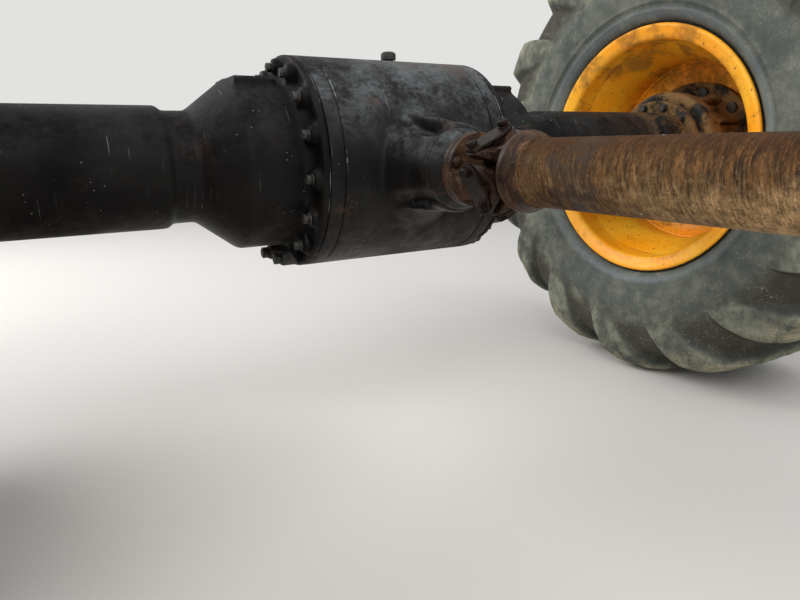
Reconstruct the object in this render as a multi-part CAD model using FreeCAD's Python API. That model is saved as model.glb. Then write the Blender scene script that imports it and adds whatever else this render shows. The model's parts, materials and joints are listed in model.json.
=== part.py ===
import FreeCAD, Part
import math
import os

# Drive axle of a site dumper with its two wheels and its propshaft, in millimetres.
# The axle lies along X and its pinion points along -Y.
# The origin is in the middle between the two frame pads, on the plane of their tops.
V = FreeCAD.Vector
X_AXIS = V(1, 0, 0)
Y_AXIS = V(0, 1, 0)
Z_AXIS = V(0, 0, 1)
FULL_TURN = 360.0

# Driving dimensions of the axle beam
PAD_HEIGHT = 130.0  # pads' tops above the axle's centre line
TRACK = 1760.0  # between the wheels' middle planes
HOUSING_WIDTH = 272.0
HOUSING_RADIUS = 168.0
BRAKE_RING_WIDTH = 23.0
BRAKE_RING_BORE_RADIUS = 112.0
FLANGE_THICKNESS = 12.0
SEAM_CHAMFER = 1.6
FLANGE_BOLTS = 15
FLANGE_BOLT_CIRCLE = 149.0
FLANGE_BOLT_FIRST = -7.0  # degrees from -Y towards +Z
FLANGE_BOSS_RADIUS = 14.0
FLANGE_BOSS_LENGTH = 11.0
SHOULDER_RADIUS = 130.0
SHOULDER_LENGTH = 90.0
SHOULDER_FILLET = 12.0
CONE_LENGTH = 62.0
TUBE_RADIUS = 83.0
COLLAR_RADIUS = 90.0
TUBE_LENGTH = 35.0
COLLAR_STEP = 6.0

# Driving dimensions of the frame pads
PAD_INNER = 196.0  # from the axle's middle
PAD_LENGTH = 62.0
PAD_WIDTH = 120.0
PAD_SPACING_X = 30.0
PAD_SPACING_Y = 84.0
PAD_HOLE_RADIUS = 9.25
PAD_HOLE_DEPTH = 34.0
PAD_CHAMFER = 4.0

# Driving dimensions of the pinion nose
PINION_DROP = 7.0  # pinion's centre line below the axle's
NOSE_ROOT_RADIUS = 118.0
NOSE_WAIST_RADIUS = 78.0
NOSE_RADIUS = 59.0
NOSE_ROOT_Y = -112.0
NOSE_WAIST_Y = -166.0
NOSE_NECK_Y = -222.0
NOSE_FRONT_Y = -262.0
WEB_THICKNESS = 9.0
WEB_ROOT_HALF = 46.0
WEB_TIP_HALF = 34.0
WEB_ROOT_Y = -150.0
WEB_FRONT_Y = -236.0
# Webs along the nose: side of the pinion, turn about it in degrees, outer face from it at the root
WEBS = [(1, 15.0, 76.0), (-1, 5.0, 66.0)]
RETAINER_RADIUS = 54.0
RETAINER_LIP_RADIUS = 46.0
RETAINER_THICKNESS = 17.0
RETAINER_LIP = 7.0
PINION_SHAFT_RADIUS = 30.0

# Driving dimensions of the wheel ends
SPINDLE_FLANGE_RADIUS = 116.0
SPINDLE_FLANGE_THICKNESS = 20.0
SPINDLE_FLANGE_INSET = 143.0  # flange's inner face from the wheel's middle plane
SPINDLE_RADIUS = 70.0
SPINDLE_LENGTH = 120.0
HUB_GAP = 8.0
HUB_DRUM_RADIUS = 136.0
HUB_WAIST_RADIUS = 124.0
HUB_DRUM_LENGTH = 46.0
HUB_FLANGE_RADIUS = 162.0
HUB_FLANGE_THICKNESS = 20.0
HUB_SPIGOT_RADIUS = 110.0
HUB_SPIGOT_LENGTH = 24.0
COVER_RADIUS = 106.0
COVER_END_RADIUS = 84.0
COVER_LENGTH = 82.0
COVER_RIM_LENGTH = 18.0
COVER_CHAMFER = 16.0

# Driving dimensions of the rims and the tyres
DISC_OFFSET = 23.0  # disc's hub face outboard of the wheel's middle plane
DISC_THICKNESS = 14.0
DISC_BORE_CLEARANCE = 0.5
DISC_FLAT_RADIUS = 170.0
DISC_DISH = 10.0
DISC_DISH_WIDTH = 22.0
RIM_WIDTH = 330.0  # between the rim's flanges
RIM_SEAT_RADIUS = 254.0
RIM_FLANGE_HEIGHT = 25.0
RIM_WALL = 8.0
RIM_LIP_WIDTH = 15.0
RIM_SEAT_WIDTH = 44.0
RIM_WELL_RADIUS = 222.0
RIM_WELL_WIDTH = 126.0
TYRE_RADIUS = 537.5
TYRE_WIDTH = 408.0
TYRE_LUGS = 15  # on each side of its middle
TYRE_FACETS = 30  # flat faces round the casing
LUG_FLANK = 13.0
CROWN_HALF = 32.0  # half a lug's width on the crown's middle line
CROWN_AHEAD = 225.0  # how far its inner end lies ahead of its outer end, along the crown
# Rows of lugs on half a tyre's section, as (inward from its side, down from its crown) on top of
# a lug, the same in the groove, the lug's half width and how far it lies ahead of its outer end
LUG_ROWS = [
    ((143.0, 0.7), (144.0, 35.0), 34.0, 196.0),
    ((89.0, 3.0), (94.0, 37.5), 38.0, 166.0),
    ((23.0, 24.5), (34.0, 58.0), 48.0, 112.0),
    ((7.0, 49.5), (20.0, 77.5), 51.0, 88.0),
    ((0.0, 78.5), (12.0, 99.5), 52.0, 63.0),
    ((1.5, 130.5), (7.0, 139.5), 46.0, 17.0),
]
# Side wall below the lugs, as (inward from its side, down from its crown)
SIDE_ROWS = [(3.5, 155.5), (3.0, 187.5), (15.0, 232.5)]
# Air chamber, as (inward from the tyre's side, down from its crown)
CHAMBER_ROWS = [(31.0, 214.5), (24.0, 128.0), (36.0, 78.0), (64.0, 48.0)]
TYRE_BEAD_WIDTH = 32.0
BEAD_TAPER = 6.0
BEAD_CLEARANCE = 0.3
BEAD_RISE = 2.0  # bead's corner above the rim's flange

# Driving dimensions of the joints of the propshaft
RUNNING_CLEARANCE = 0.05
FLANGE_DISC_RADIUS = 50.0
FLANGE_DISC_THICKNESS = 10.0
FLANGE_DISC_CHAMFER = 1.5
FLANGE_GAP = 5.0  # between the retainer and the turning flange
BOLT_CIRCLE = 84.0
BOLT_COUNT = 4
BOLT_HOLE_RADIUS = 4.25
JOINT_REACH = 58.0  # from a flange's mating face to the centre of its cross
JOINT_TURN = 28.0  # flange yokes' ears above level at +X, in degrees
EAR_INNER = 26.0
EAR_OUTER = 44.0
EAR_TIP = 23.0  # from the centre of the cross to the ear's round end
EAR_WING_HALF = 36.0
EAR_WING_FRONT = 8.0
EAR_WING_BACK = 10.0
EAR_NECK_BACK = 20.0
EAR_ROOT_HALF = 21.0
EAR_SIDE_GAP = 7.0  # from the ear's slanted sides to the diagonal between two pairs of ears
CAP_RADIUS = 17.5
CAP_FLOOR = 1.5
CAP_PLATE_THICKNESS = 5.0
CAP_PLATE_HALF = 34.0
CAP_PLATE_END_HALF = 8.0
CAP_PLATE_MIDDLE_HALF = 18.0
TRUNNION_RADIUS = 11.0
TRUNNION_END_GAP = 0.5
SEAL_RADIUS = 15.0
SEAL_GAP = 1.0
CROSS_HUB_RADIUS = 19.0
YOKE_BASE_GAP = 42.0  # from the centre of the cross to the yoke's base
YOKE_BASE_FACE_RADIUS = 40.0
YOKE_BASE_RADIUS = 50.0
YOKE_BASE_STEP = 6.0
YOKE_BASE_BAND = 7.0
YOKE_BASE_CONE = 21.0

# Driving dimensions of the shaft
SHAFT_TUBE_RADIUS = 40.5
SHAFT_TUBE_WALL = 4.0
SHAFT_TUBE_LENGTH = 532.0
STUB_COLLAR_LENGTH = 15.0
STUB_RADIUS = 22.0
STUB_LENGTH = 120.0
SLEEVE_GAP = 30.0  # between the stub's collar and the sleeve at rest
SLEEVE_RADIUS = 33.0
SLEEVE_SEAL_RADIUS = 37.0
SLEEVE_SEAL_LENGTH = 14.0
SLEEVE_LENGTH = 93.0
SLEEVE_SPARE = 30.0  # free bore beyond the end of the stub

# Places worked out from the driving dimensions
AXLE = V(0, 0, -PAD_HEIGHT)
PINION = V(0, 0, -PAD_HEIGHT - PINION_DROP)
WHEEL_X = TRACK / 2
HOUSING_X = HOUSING_WIDTH / 2
FLANGE_X = HOUSING_X + BRAKE_RING_WIDTH
SHOULDER_X = FLANGE_X + FLANGE_THICKNESS
CONE_X = SHOULDER_X + SHOULDER_LENGTH
TUBE_X = CONE_X + CONE_LENGTH
COLLAR_X = TUBE_X + TUBE_LENGTH
SPINDLE_X = WHEEL_X - SPINDLE_FLANGE_INSET
HUB_X = SPINDLE_X + SPINDLE_FLANGE_THICKNESS + HUB_GAP
DISC_X = WHEEL_X + DISC_OFFSET
RETAINER_Y = NOSE_FRONT_Y - RETAINER_THICKNESS
COMPANION_Y = RETAINER_Y - FLANGE_GAP
YOKE_FLANGE_Y = COMPANION_Y - FLANGE_DISC_THICKNESS
FRONT_CROSS_Y = YOKE_FLANGE_Y - JOINT_REACH
YOKE_BASE_LENGTH = YOKE_BASE_STEP + YOKE_BASE_BAND + YOKE_BASE_CONE
TUBE_Y = FRONT_CROSS_Y - YOKE_BASE_GAP - YOKE_BASE_LENGTH
STUB_Y = TUBE_Y - SHAFT_TUBE_LENGTH
SHANK_Y = STUB_Y - STUB_COLLAR_LENGTH
SLEEVE_Y = SHANK_Y - SLEEVE_GAP
SLEEVE_BODY_Y = SLEEVE_Y - SLEEVE_SEAL_LENGTH
SLEEVE_END_Y = SLEEVE_BODY_Y - SLEEVE_LENGTH
REAR_CROSS_Y = SLEEVE_END_Y - YOKE_BASE_LENGTH - YOKE_BASE_GAP
REAR_FACE_Y = REAR_CROSS_Y - JOINT_REACH


# Closed outline through points (a, b), where a third word "arc" marks the middle of an arc
def outline(points, place):
    edges = []
    count = len(points)
    index = 0
    while index < count:
        start = points[index]
        following = points[(index + 1) % count]
        if len(following) == 3:
            end = points[(index + 2) % count]
            arc = Part.Arc(place(*start[:2]), place(*following[:2]), place(*end[:2]))
            edges.append(arc.toShape())
            index += 2
        else:
            edges.append(Part.LineSegment(place(*start[:2]), place(*following[:2])).toShape())
            index += 1
    return Part.Face(Part.Wire(edges))


# Solid turned about the axle's centre line from points (x, radius)
def turned_x(points):
    face = outline(points, lambda x, radius: AXLE + V(x, 0, radius))
    return face.revolve(AXLE, X_AXIS, FULL_TURN)


# Solid turned about the pinion's centre line from points (y, radius)
def turned_y(points):
    face = outline(points, lambda y, radius: PINION + V(0, y, radius))
    return face.revolve(PINION, Y_AXIS, FULL_TURN)


# Round bar from start, along a direction
def bar(radius, length, start, direction):
    return Part.makeCylinder(radius, length, start, direction)


# The same piece on the other side of the axle
def mirrored(shape):
    return shape.mirror(V(0, 0, 0), X_AXIS)


def save(name, shape):
    solid = shape.removeSplitter()
    if not solid.isValid():
        raise ValueError(name + " is not a valid solid")
    solid.exportStep(os.path.join("parts", name + ".step"))


# Pieces that are alike on both sides: drawn for +X, then mirrored
def save_both_sides(name, shape):
    save(name + "_right", shape)
    save(name + "_left", mirrored(shape))


# Cast centre housing: a barrel along the axle with the pinion nose in front
def centre_housing():
    barrel = turned_x([
        (-HOUSING_X, 0), (-HOUSING_X, HOUSING_RADIUS - SEAM_CHAMFER),
        (-HOUSING_X + SEAM_CHAMFER, HOUSING_RADIUS), (HOUSING_X - SEAM_CHAMFER, HOUSING_RADIUS),
        (HOUSING_X, HOUSING_RADIUS - SEAM_CHAMFER), (HOUSING_X, 0),
    ])
    nose = turned_y([
        (0, 0), (0, NOSE_ROOT_RADIUS), (NOSE_ROOT_Y, NOSE_ROOT_RADIUS),
        (NOSE_WAIST_Y, NOSE_WAIST_RADIUS, "arc"), (NOSE_NECK_Y, NOSE_RADIUS),
        (NOSE_FRONT_Y, NOSE_RADIUS), (NOSE_FRONT_Y, 0),
    ])
    housing = barrel.fuse(nose)
    for side, turn, root in WEBS:
        housing = housing.fuse(nose_web(side, turn, root))
    return housing


# Web that narrows and falls from the barrel to the front of the nose
def nose_web(side, turn, root):
    tip = NOSE_RADIUS
    fall = outline([
        (WEB_FRONT_Y, tip - WEB_THICKNESS), (WEB_FRONT_Y, tip), (WEB_ROOT_Y, root),
        (NOSE_ROOT_Y, root), (NOSE_ROOT_Y, root - WEB_THICKNESS),
        (WEB_ROOT_Y, root - WEB_THICKNESS),
    ], lambda y, out: V(-WEB_ROOT_HALF, y, out)).extrude(V(WEB_ROOT_HALF * 2, 0, 0))
    plan = outline([
        (-WEB_ROOT_HALF, NOSE_ROOT_Y), (-WEB_ROOT_HALF, WEB_ROOT_Y), (-WEB_TIP_HALF, WEB_FRONT_Y),
        (WEB_TIP_HALF, WEB_FRONT_Y), (WEB_ROOT_HALF, WEB_ROOT_Y), (WEB_ROOT_HALF, NOSE_ROOT_Y),
    ], lambda x, y: V(x, y, 0)).extrude(V(0, 0, root))
    web = fall.common(plan)
    if side < 0:
        web = web.mirror(V(0, 0, 0), Z_AXIS)
    web.rotate(V(0, 0, 0), Y_AXIS, turn)
    web.translate(PINION)
    return web


# Ring between the housing and an arm that holds the brake discs
def brake_ring():
    return turned_x([
        (HOUSING_X, BRAKE_RING_BORE_RADIUS), (HOUSING_X, HOUSING_RADIUS - SEAM_CHAMFER),
        (HOUSING_X + SEAM_CHAMFER, HOUSING_RADIUS), (FLANGE_X - SEAM_CHAMFER, HOUSING_RADIUS),
        (FLANGE_X, HOUSING_RADIUS - SEAM_CHAMFER), (FLANGE_X, BRAKE_RING_BORE_RADIUS),
    ])


# Cast arm: bolted flange, shoulder with the frame pad, cone and tube out to the spindle
def arm():
    body = turned_x([
        (FLANGE_X, 0), (FLANGE_X, HOUSING_RADIUS - SEAM_CHAMFER),
        (FLANGE_X + SEAM_CHAMFER, HOUSING_RADIUS), (SHOULDER_X - SEAM_CHAMFER, HOUSING_RADIUS),
        (SHOULDER_X, HOUSING_RADIUS - SEAM_CHAMFER),
        (SHOULDER_X, SHOULDER_RADIUS + SHOULDER_FILLET),
        (SHOULDER_X + SHOULDER_FILLET, SHOULDER_RADIUS), (CONE_X, SHOULDER_RADIUS),
        (TUBE_X, TUBE_RADIUS), (COLLAR_X, TUBE_RADIUS),
        (COLLAR_X + COLLAR_STEP, COLLAR_RADIUS), (SPINDLE_X, COLLAR_RADIUS), (SPINDLE_X, 0),
    ])
    for number in range(FLANGE_BOLTS):
        angle = math.radians(FLANGE_BOLT_FIRST + FULL_TURN / FLANGE_BOLTS * number)
        across = V(0, -math.cos(angle), math.sin(angle)) * FLANGE_BOLT_CIRCLE
        start = AXLE + V(FLANGE_X, 0, 0) + across
        boss = bar(FLANGE_BOSS_RADIUS, FLANGE_THICKNESS + FLANGE_BOSS_LENGTH, start, X_AXIS)
        body = body.fuse(boss)
    pad_far = PAD_INNER + PAD_LENGTH
    half = PAD_WIDTH / 2
    pad = outline([
        (-half, -PAD_HEIGHT), (-half, -PAD_CHAMFER), (-half + PAD_CHAMFER, 0),
        (half - PAD_CHAMFER, 0), (half, -PAD_CHAMFER), (half, -PAD_HEIGHT),
    ], lambda y, z: V(PAD_INNER, y, z)).extrude(V(PAD_LENGTH, 0, 0))
    body = body.fuse(pad)
    middle = (PAD_INNER + pad_far) / 2
    for x in (middle - PAD_SPACING_X / 2, middle + PAD_SPACING_X / 2):
        for y in (-PAD_SPACING_Y / 2, PAD_SPACING_Y / 2):
            body = body.cut(bar(PAD_HOLE_RADIUS, PAD_HOLE_DEPTH, V(x, y, 0), -Z_AXIS))
    return body


# Spindle bolted to the arm's end, which carries the hub
def spindle():
    shank_x = SPINDLE_X + SPINDLE_FLANGE_THICKNESS
    end_x = shank_x + SPINDLE_LENGTH
    return turned_x([
        (SPINDLE_X, 0), (SPINDLE_X, SPINDLE_FLANGE_RADIUS),
        (shank_x, SPINDLE_FLANGE_RADIUS), (shank_x, SPINDLE_RADIUS),
        (end_x, SPINDLE_RADIUS), (end_x, 0),
    ])


# Hub that turns on the spindle, with the wheel's flange and a spigot that centres the disc
def wheel_hub():
    bore = SPINDLE_RADIUS + RUNNING_CLEARANCE
    bore_end = SPINDLE_X + SPINDLE_FLANGE_THICKNESS + SPINDLE_LENGTH + HUB_GAP
    flange_x = DISC_X - HUB_FLANGE_THICKNESS
    drum_end = HUB_X + HUB_DRUM_LENGTH
    spigot_end = DISC_X + HUB_SPIGOT_LENGTH
    return turned_x([
        (HUB_X, bore), (HUB_X, HUB_DRUM_RADIUS), (drum_end, HUB_DRUM_RADIUS),
        (drum_end, HUB_WAIST_RADIUS), (flange_x, HUB_WAIST_RADIUS),
        (flange_x, HUB_FLANGE_RADIUS), (DISC_X, HUB_FLANGE_RADIUS),
        (DISC_X, HUB_SPIGOT_RADIUS), (spigot_end, HUB_SPIGOT_RADIUS),
        (spigot_end, 0), (bore_end, 0), (bore_end, bore),
    ])


# Cover of the hub's planetary gears, outside the wheel disc
def hub_cover():
    start = DISC_X + HUB_SPIGOT_LENGTH
    rim_end = start + COVER_RIM_LENGTH
    end = start + COVER_LENGTH
    return turned_x([
        (start, 0), (start, COVER_RADIUS), (rim_end, COVER_RADIUS),
        (rim_end, COVER_END_RADIUS), (end - COVER_CHAMFER, COVER_END_RADIUS),
        (end, COVER_END_RADIUS - COVER_CHAMFER), (end, 0),
    ])


# Pressed disc, dished between its bolted middle and its welded edge
def wheel_disc():
    bore = HUB_SPIGOT_RADIUS + DISC_BORE_CLEARANCE
    edge = RIM_WELL_RADIUS - RIM_WALL
    back = DISC_X + DISC_THICKNESS
    dish_end = DISC_FLAT_RADIUS + DISC_DISH_WIDTH
    return turned_x([
        (DISC_X, bore), (DISC_X, DISC_FLAT_RADIUS), (DISC_X - DISC_DISH, dish_end),
        (DISC_X - DISC_DISH, edge), (back - DISC_DISH, edge), (back - DISC_DISH, dish_end),
        (back, DISC_FLAT_RADIUS), (back, bore),
    ])


# Rolled rim: flanges, bead seats and a well in the middle
def rim():
    half = RIM_WIDTH / 2
    lip = half + RIM_LIP_WIDTH
    flange_radius = RIM_SEAT_RADIUS + RIM_FLANGE_HEIGHT
    well = RIM_WELL_WIDTH / 2
    seat = half - RIM_SEAT_WIDTH
    seat_inner = RIM_SEAT_RADIUS - RIM_WALL
    lip_radius = RIM_LIP_WIDTH / 2
    lip_bend = lip_radius * math.sin(math.radians(45))
    outer = [
        (well, RIM_WELL_RADIUS), (seat, RIM_SEAT_RADIUS), (half, RIM_SEAT_RADIUS),
        (half, flange_radius - lip_radius),
        (half + lip_radius - lip_bend, flange_radius - lip_radius + lip_bend, "arc"),
        (half + lip_radius, flange_radius),
        (lip, flange_radius), (lip, flange_radius - RIM_WALL),
        (half + RIM_WALL, flange_radius - RIM_WALL),
        (half + RIM_WALL, seat_inner), (seat, seat_inner), (well, RIM_WELL_RADIUS - RIM_WALL),
    ]
    inboard = [(-point[0],) + point[1:] for point in reversed(outer)]
    return turned_x([(WHEEL_X + point[0],) + point[1:] for point in inboard + outer])


# Ring of corners about the wheel's axis, from (across, radius, angle from +Z towards +Y)
def corners(places):
    return [
        AXLE + V(WHEEL_X + across, radius * math.sin(angle), radius * math.cos(angle))
        for across, radius, angle in places
    ]


# Evenly spaced ring of one side's casing; its flat faces stay outside the radius if told to
def casing_ring(side, across, radius, count, outside=False):
    turn = math.tau / count
    first = side * math.pi / TYRE_FACETS
    if outside:
        radius /= math.cos(turn / 2)
    return corners([(side * across, radius, first + turn * number) for number in range(count)])


# Ring through one side's lugs: up one flank, over the top and down the other, then the groove
def lug_ring(side, top, groove, half, ahead):
    pitch = math.tau / TYRE_LUGS
    places = []
    for number in range(TYRE_LUGS):
        middle = pitch * (number + (0.5 if side > 0 else 0)) + ahead / TYRE_RADIUS
        for foot, way in ((groove, -1), (top, -1), (top, 1), (groove, 1)):
            flank = LUG_FLANK / 2 if foot is groove else -LUG_FLANK / 2
            angle = middle + way * (half + flank) / TYRE_RADIUS
            places.append((side * (TYRE_WIDTH / 2 - foot[0]), TYRE_RADIUS - foot[1], angle))
    return corners(places)


# Crown's middle line, where the lugs of both sides end in turn
def crown_ring():
    half_pitch = math.pi / TYRE_LUGS
    places = []
    for number in range(TYRE_LUGS * 2):
        middle = half_pitch * number + CROWN_AHEAD / TYRE_RADIUS
        for way in (-1, 1):
            places.append((0, TYRE_RADIUS, middle + way * CROWN_HALF / TYRE_RADIUS))
    return corners(places)


# Faces between two rings of corners, the second with as many corners or with half as many
def strip(first, second):
    faces = []
    share = len(first) // len(second)
    for number in range(len(second)):
        near = first[number * share]
        far = first[(number * share + share) % len(first)]
        ends = [second[number], second[(number + 1) % len(second)]]
        if share == 2:
            middle = first[number * share + 1]
            faces += [[near, middle, ends[0]], [middle, far, ends[1]], [middle, ends[1], ends[0]]]
        else:
            faces += [[near, far, ends[1]], [near, ends[1], ends[0]]]
    return [Part.Face(Part.makePolygon(face + face[:1])) for face in faces]


# Tyre: a casing open towards the rim, seated on the bead seats, with lugs from its crown on to
# its side walls; all its faces are flat
def tyre():
    half = RIM_WIDTH / 2 - BEAD_CLEARANCE
    width = TYRE_WIDTH / 2
    seat = RIM_SEAT_RADIUS + BEAD_CLEARANCE
    bead_top = RIM_SEAT_RADIUS + RIM_FLANGE_HEIGHT
    toe = RIM_WIDTH / 2 - TYRE_BEAD_WIDTH
    crown = crown_ring()
    faces = []
    chambers = []
    for side in (1, -1):
        inner = crown[1:] + crown[:1] if side > 0 else crown[-1:] + crown[:-1]
        rings = [inner] + [lug_ring(side, *row) for row in LUG_ROWS]
        for inward, down in SIDE_ROWS:
            rings.append(casing_ring(side, width - inward, TYRE_RADIUS - down, TYRE_FACETS))
        rings.append(casing_ring(side, half, bead_top + BEAD_RISE, TYRE_FACETS, True))
        rings.append(casing_ring(side, half, seat, TYRE_FACETS, True))
        rings.append(casing_ring(side, toe, seat, TYRE_FACETS, True))
        rings.append(casing_ring(side, toe + BEAD_TAPER, bead_top, TYRE_FACETS // 2))
        for inward, down in CHAMBER_ROWS:
            radius = TYRE_RADIUS - down
            rings.append(casing_ring(side, width - inward, radius, TYRE_FACETS // 2))
        chambers.append(rings[-1])
        for first, second in zip(rings, rings[1:]):
            faces += strip(first, second)
    faces += strip(*chambers)
    shell = Part.makeShell(faces)
    shell.sewShape()
    return Part.makeSolid(shell)


# Plate that holds the pinion's seal in the nose
def pinion_retainer():
    bore = PINION_SHAFT_RADIUS + RUNNING_CLEARANCE
    step = RETAINER_Y + RETAINER_LIP
    return turned_y([
        (NOSE_FRONT_Y, bore), (NOSE_FRONT_Y, RETAINER_RADIUS), (step, RETAINER_RADIUS),
        (step, RETAINER_LIP_RADIUS), (RETAINER_Y, RETAINER_LIP_RADIUS), (RETAINER_Y, bore),
    ])


# Round plate of a flange between two faces on the pinion's centre line
def flange_plate(face_y, back_y):
    edge = FLANGE_DISC_RADIUS - FLANGE_DISC_CHAMFER
    inward = FLANGE_DISC_CHAMFER if back_y > face_y else -FLANGE_DISC_CHAMFER
    return turned_y([
        (face_y, 0), (face_y, edge), (face_y + inward, FLANGE_DISC_RADIUS),
        (back_y - inward, FLANGE_DISC_RADIUS), (back_y, edge), (back_y, 0),
    ])


# Holes of the flange bolts, between the yoke's ears
def bolt_holes(from_y, to_y):
    low = min(from_y, to_y)
    length = abs(to_y - from_y)
    holes = []
    for number in range(BOLT_COUNT):
        angle = math.radians(FULL_TURN / BOLT_COUNT * (number + 0.5) + JOINT_TURN)
        across = V(math.cos(angle), 0, math.sin(angle)) * (BOLT_CIRCLE / 2)
        holes.append(bar(BOLT_HOLE_RADIUS, length, PINION + V(0, low, 0) + across, Y_AXIS))
    return Part.makeCompound(holes)


# Flange on the end of the pinion shaft
def companion_flange():
    plate = flange_plate(YOKE_FLANGE_Y, COMPANION_Y)
    shaft_end = NOSE_FRONT_Y - RETAINER_LIP / 2
    shaft = bar(PINION_SHAFT_RADIUS, shaft_end - YOKE_FLANGE_Y, PINION + V(0, YOKE_FLANGE_Y, 0), Y_AXIS)
    return plate.fuse(shaft).cut(bolt_holes(YOKE_FLANGE_Y, COMPANION_Y))


# A joint's piece, drawn about its cross with its ears along X or Z, turned into place
def placed_joint(shape, cross_y):
    placed = shape.copy()
    placed.rotate(V(0, 0, 0), Y_AXIS, -JOINT_TURN)
    placed.translate(PINION + V(0, cross_y, 0))
    return placed


# Solid of an outline (across, y) that reaches from one distance from the cross to another
def slab(points, near, far):
    face = outline(points, lambda across, y: V(across, y, near))
    return face.extrude(V(0, 0, far - near))


# The two like pieces of a pair along Z, or along X for the flange yokes
def pair(piece, along_x):
    other = piece.mirror(V(0, 0, 0), Z_AXIS)
    both = Part.makeCompound([piece, other])
    if along_x:
        both.rotate(V(0, 0, 0), Y_AXIS, 90)
    return both


# Two ears with wings for the cap bolts; base_y is where they meet their flange or shaft
def ears(cross_y, base_y, along_x):
    reach = base_y - cross_y
    side = math.copysign(1.0, reach)
    points = [
        (-EAR_ROOT_HALF, reach), (-EAR_ROOT_HALF, side * EAR_NECK_BACK),
        (-EAR_WING_HALF, side * EAR_WING_BACK), (-EAR_WING_HALF, -side * EAR_WING_FRONT),
        (0, -side * EAR_TIP, "arc"), (EAR_WING_HALF, -side * EAR_WING_FRONT),
        (EAR_WING_HALF, side * EAR_WING_BACK), (EAR_ROOT_HALF, side * EAR_NECK_BACK),
        (EAR_ROOT_HALF, reach),
    ]
    ear = slab(points, EAR_INNER, EAR_OUTER)
    low = EAR_INNER - EAR_SIDE_GAP
    high = EAR_OUTER - EAR_SIDE_GAP
    wedge = Part.Face(Part.makePolygon([
        V(-low, 0, EAR_INNER), V(low, 0, EAR_INNER), V(high, 0, EAR_OUTER),
        V(-high, 0, EAR_OUTER), V(-low, 0, EAR_INNER),
    ]))
    wedge.translate(V(0, -side * EAR_TIP, 0))
    ear = ear.common(wedge.extrude(V(0, side * EAR_TIP + reach, 0)))
    ear = ear.cut(bar(CAP_RADIUS, EAR_OUTER, V(0, 0, 0), Z_AXIS))
    return placed_joint(pair(ear, along_x), cross_y)


# Bearing caps in a pair of ears, each with the plate that bolts it down
def caps(cross_y, along_x):
    bore = TRUNNION_RADIUS + RUNNING_CLEARANCE
    plate = slab([
        (-CAP_PLATE_HALF, CAP_PLATE_END_HALF), (-CAP_PLATE_HALF, -CAP_PLATE_END_HALF),
        (0, -CAP_PLATE_MIDDLE_HALF, "arc"), (CAP_PLATE_HALF, -CAP_PLATE_END_HALF),
        (CAP_PLATE_HALF, CAP_PLATE_END_HALF), (0, CAP_PLATE_MIDDLE_HALF, "arc"),
    ], EAR_OUTER, EAR_OUTER + CAP_PLATE_THICKNESS)
    cap = bar(CAP_RADIUS, EAR_OUTER - EAR_INNER, V(0, 0, EAR_INNER), Z_AXIS).fuse(plate)
    cap = cap.cut(bar(bore, EAR_OUTER - CAP_FLOOR, V(0, 0, 0), Z_AXIS))
    return placed_joint(pair(cap, along_x), cross_y)


# Forged cross with four trunnions
def cross(cross_y):
    reach = EAR_OUTER - CAP_FLOOR - TRUNNION_END_GAP
    seal = EAR_INNER - SEAL_GAP
    shape = Part.makeSphere(CROSS_HUB_RADIUS)
    for direction in (X_AXIS, Z_AXIS):
        shape = shape.fuse(bar(SEAL_RADIUS, seal * 2, direction * -seal, direction))
        shape = shape.fuse(bar(TRUNNION_RADIUS, reach * 2, direction * -reach, direction))
    return placed_joint(shape, cross_y)


# Yoke forged with a bolted flange
def flange_yoke(face_y, cross_y):
    back_y = face_y + math.copysign(FLANGE_DISC_THICKNESS, cross_y - face_y)
    yoke = flange_plate(face_y, back_y)
    for ear in ears(cross_y, back_y, True).Solids:
        yoke = yoke.fuse(ear)
    return yoke.cut(bolt_holes(face_y, back_y))


# Base of a shaft yoke: from its face at the ears down to the shaft behind it
def yoke_base(cross_y, away, shaft_radius):
    face = cross_y + away * YOKE_BASE_GAP
    step = face + away * YOKE_BASE_STEP
    band = step + away * YOKE_BASE_BAND
    end = band + away * YOKE_BASE_CONE
    return turned_y([
        (face, 0), (face, YOKE_BASE_FACE_RADIUS), (step, YOKE_BASE_RADIUS),
        (band, YOKE_BASE_RADIUS), (end, shaft_radius), (end, 0),
    ])


# Yoke welded into the front end of the tube
def tube_yoke():
    yoke = yoke_base(FRONT_CROSS_Y, -1, SHAFT_TUBE_RADIUS)
    root = FRONT_CROSS_Y - YOKE_BASE_GAP - YOKE_BASE_STEP
    for ear in ears(FRONT_CROSS_Y, root, False).Solids:
        yoke = yoke.fuse(ear)
    return yoke


def shaft_tube():
    inner = SHAFT_TUBE_RADIUS - SHAFT_TUBE_WALL
    return turned_y([
        (TUBE_Y, inner), (TUBE_Y, SHAFT_TUBE_RADIUS),
        (STUB_Y, SHAFT_TUBE_RADIUS), (STUB_Y, inner),
    ])


# Splined stub welded into the rear end of the tube
def spline_stub():
    end = SHANK_Y - STUB_LENGTH
    return turned_y([
        (STUB_Y, 0), (STUB_Y, SHAFT_TUBE_RADIUS), (SHANK_Y, STUB_RADIUS),
        (end, STUB_RADIUS), (end, 0),
    ])


# Sleeve that slides on the stub, with its own pair of ears
def sleeve_yoke():
    bore = STUB_RADIUS + RUNNING_CLEARANCE
    bore_end = SHANK_Y - STUB_LENGTH - SLEEVE_SPARE
    body = bar(SLEEVE_RADIUS, SLEEVE_LENGTH, PINION + V(0, SLEEVE_END_Y, 0), Y_AXIS)
    yoke = body.fuse(yoke_base(REAR_CROSS_Y, 1, SLEEVE_RADIUS))
    root = REAR_CROSS_Y + YOKE_BASE_GAP + YOKE_BASE_STEP
    for ear in ears(REAR_CROSS_Y, root, False).Solids:
        yoke = yoke.fuse(ear)
    return yoke.cut(bar(bore, SLEEVE_BODY_Y - bore_end, PINION + V(0, bore_end, 0), Y_AXIS))


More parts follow.
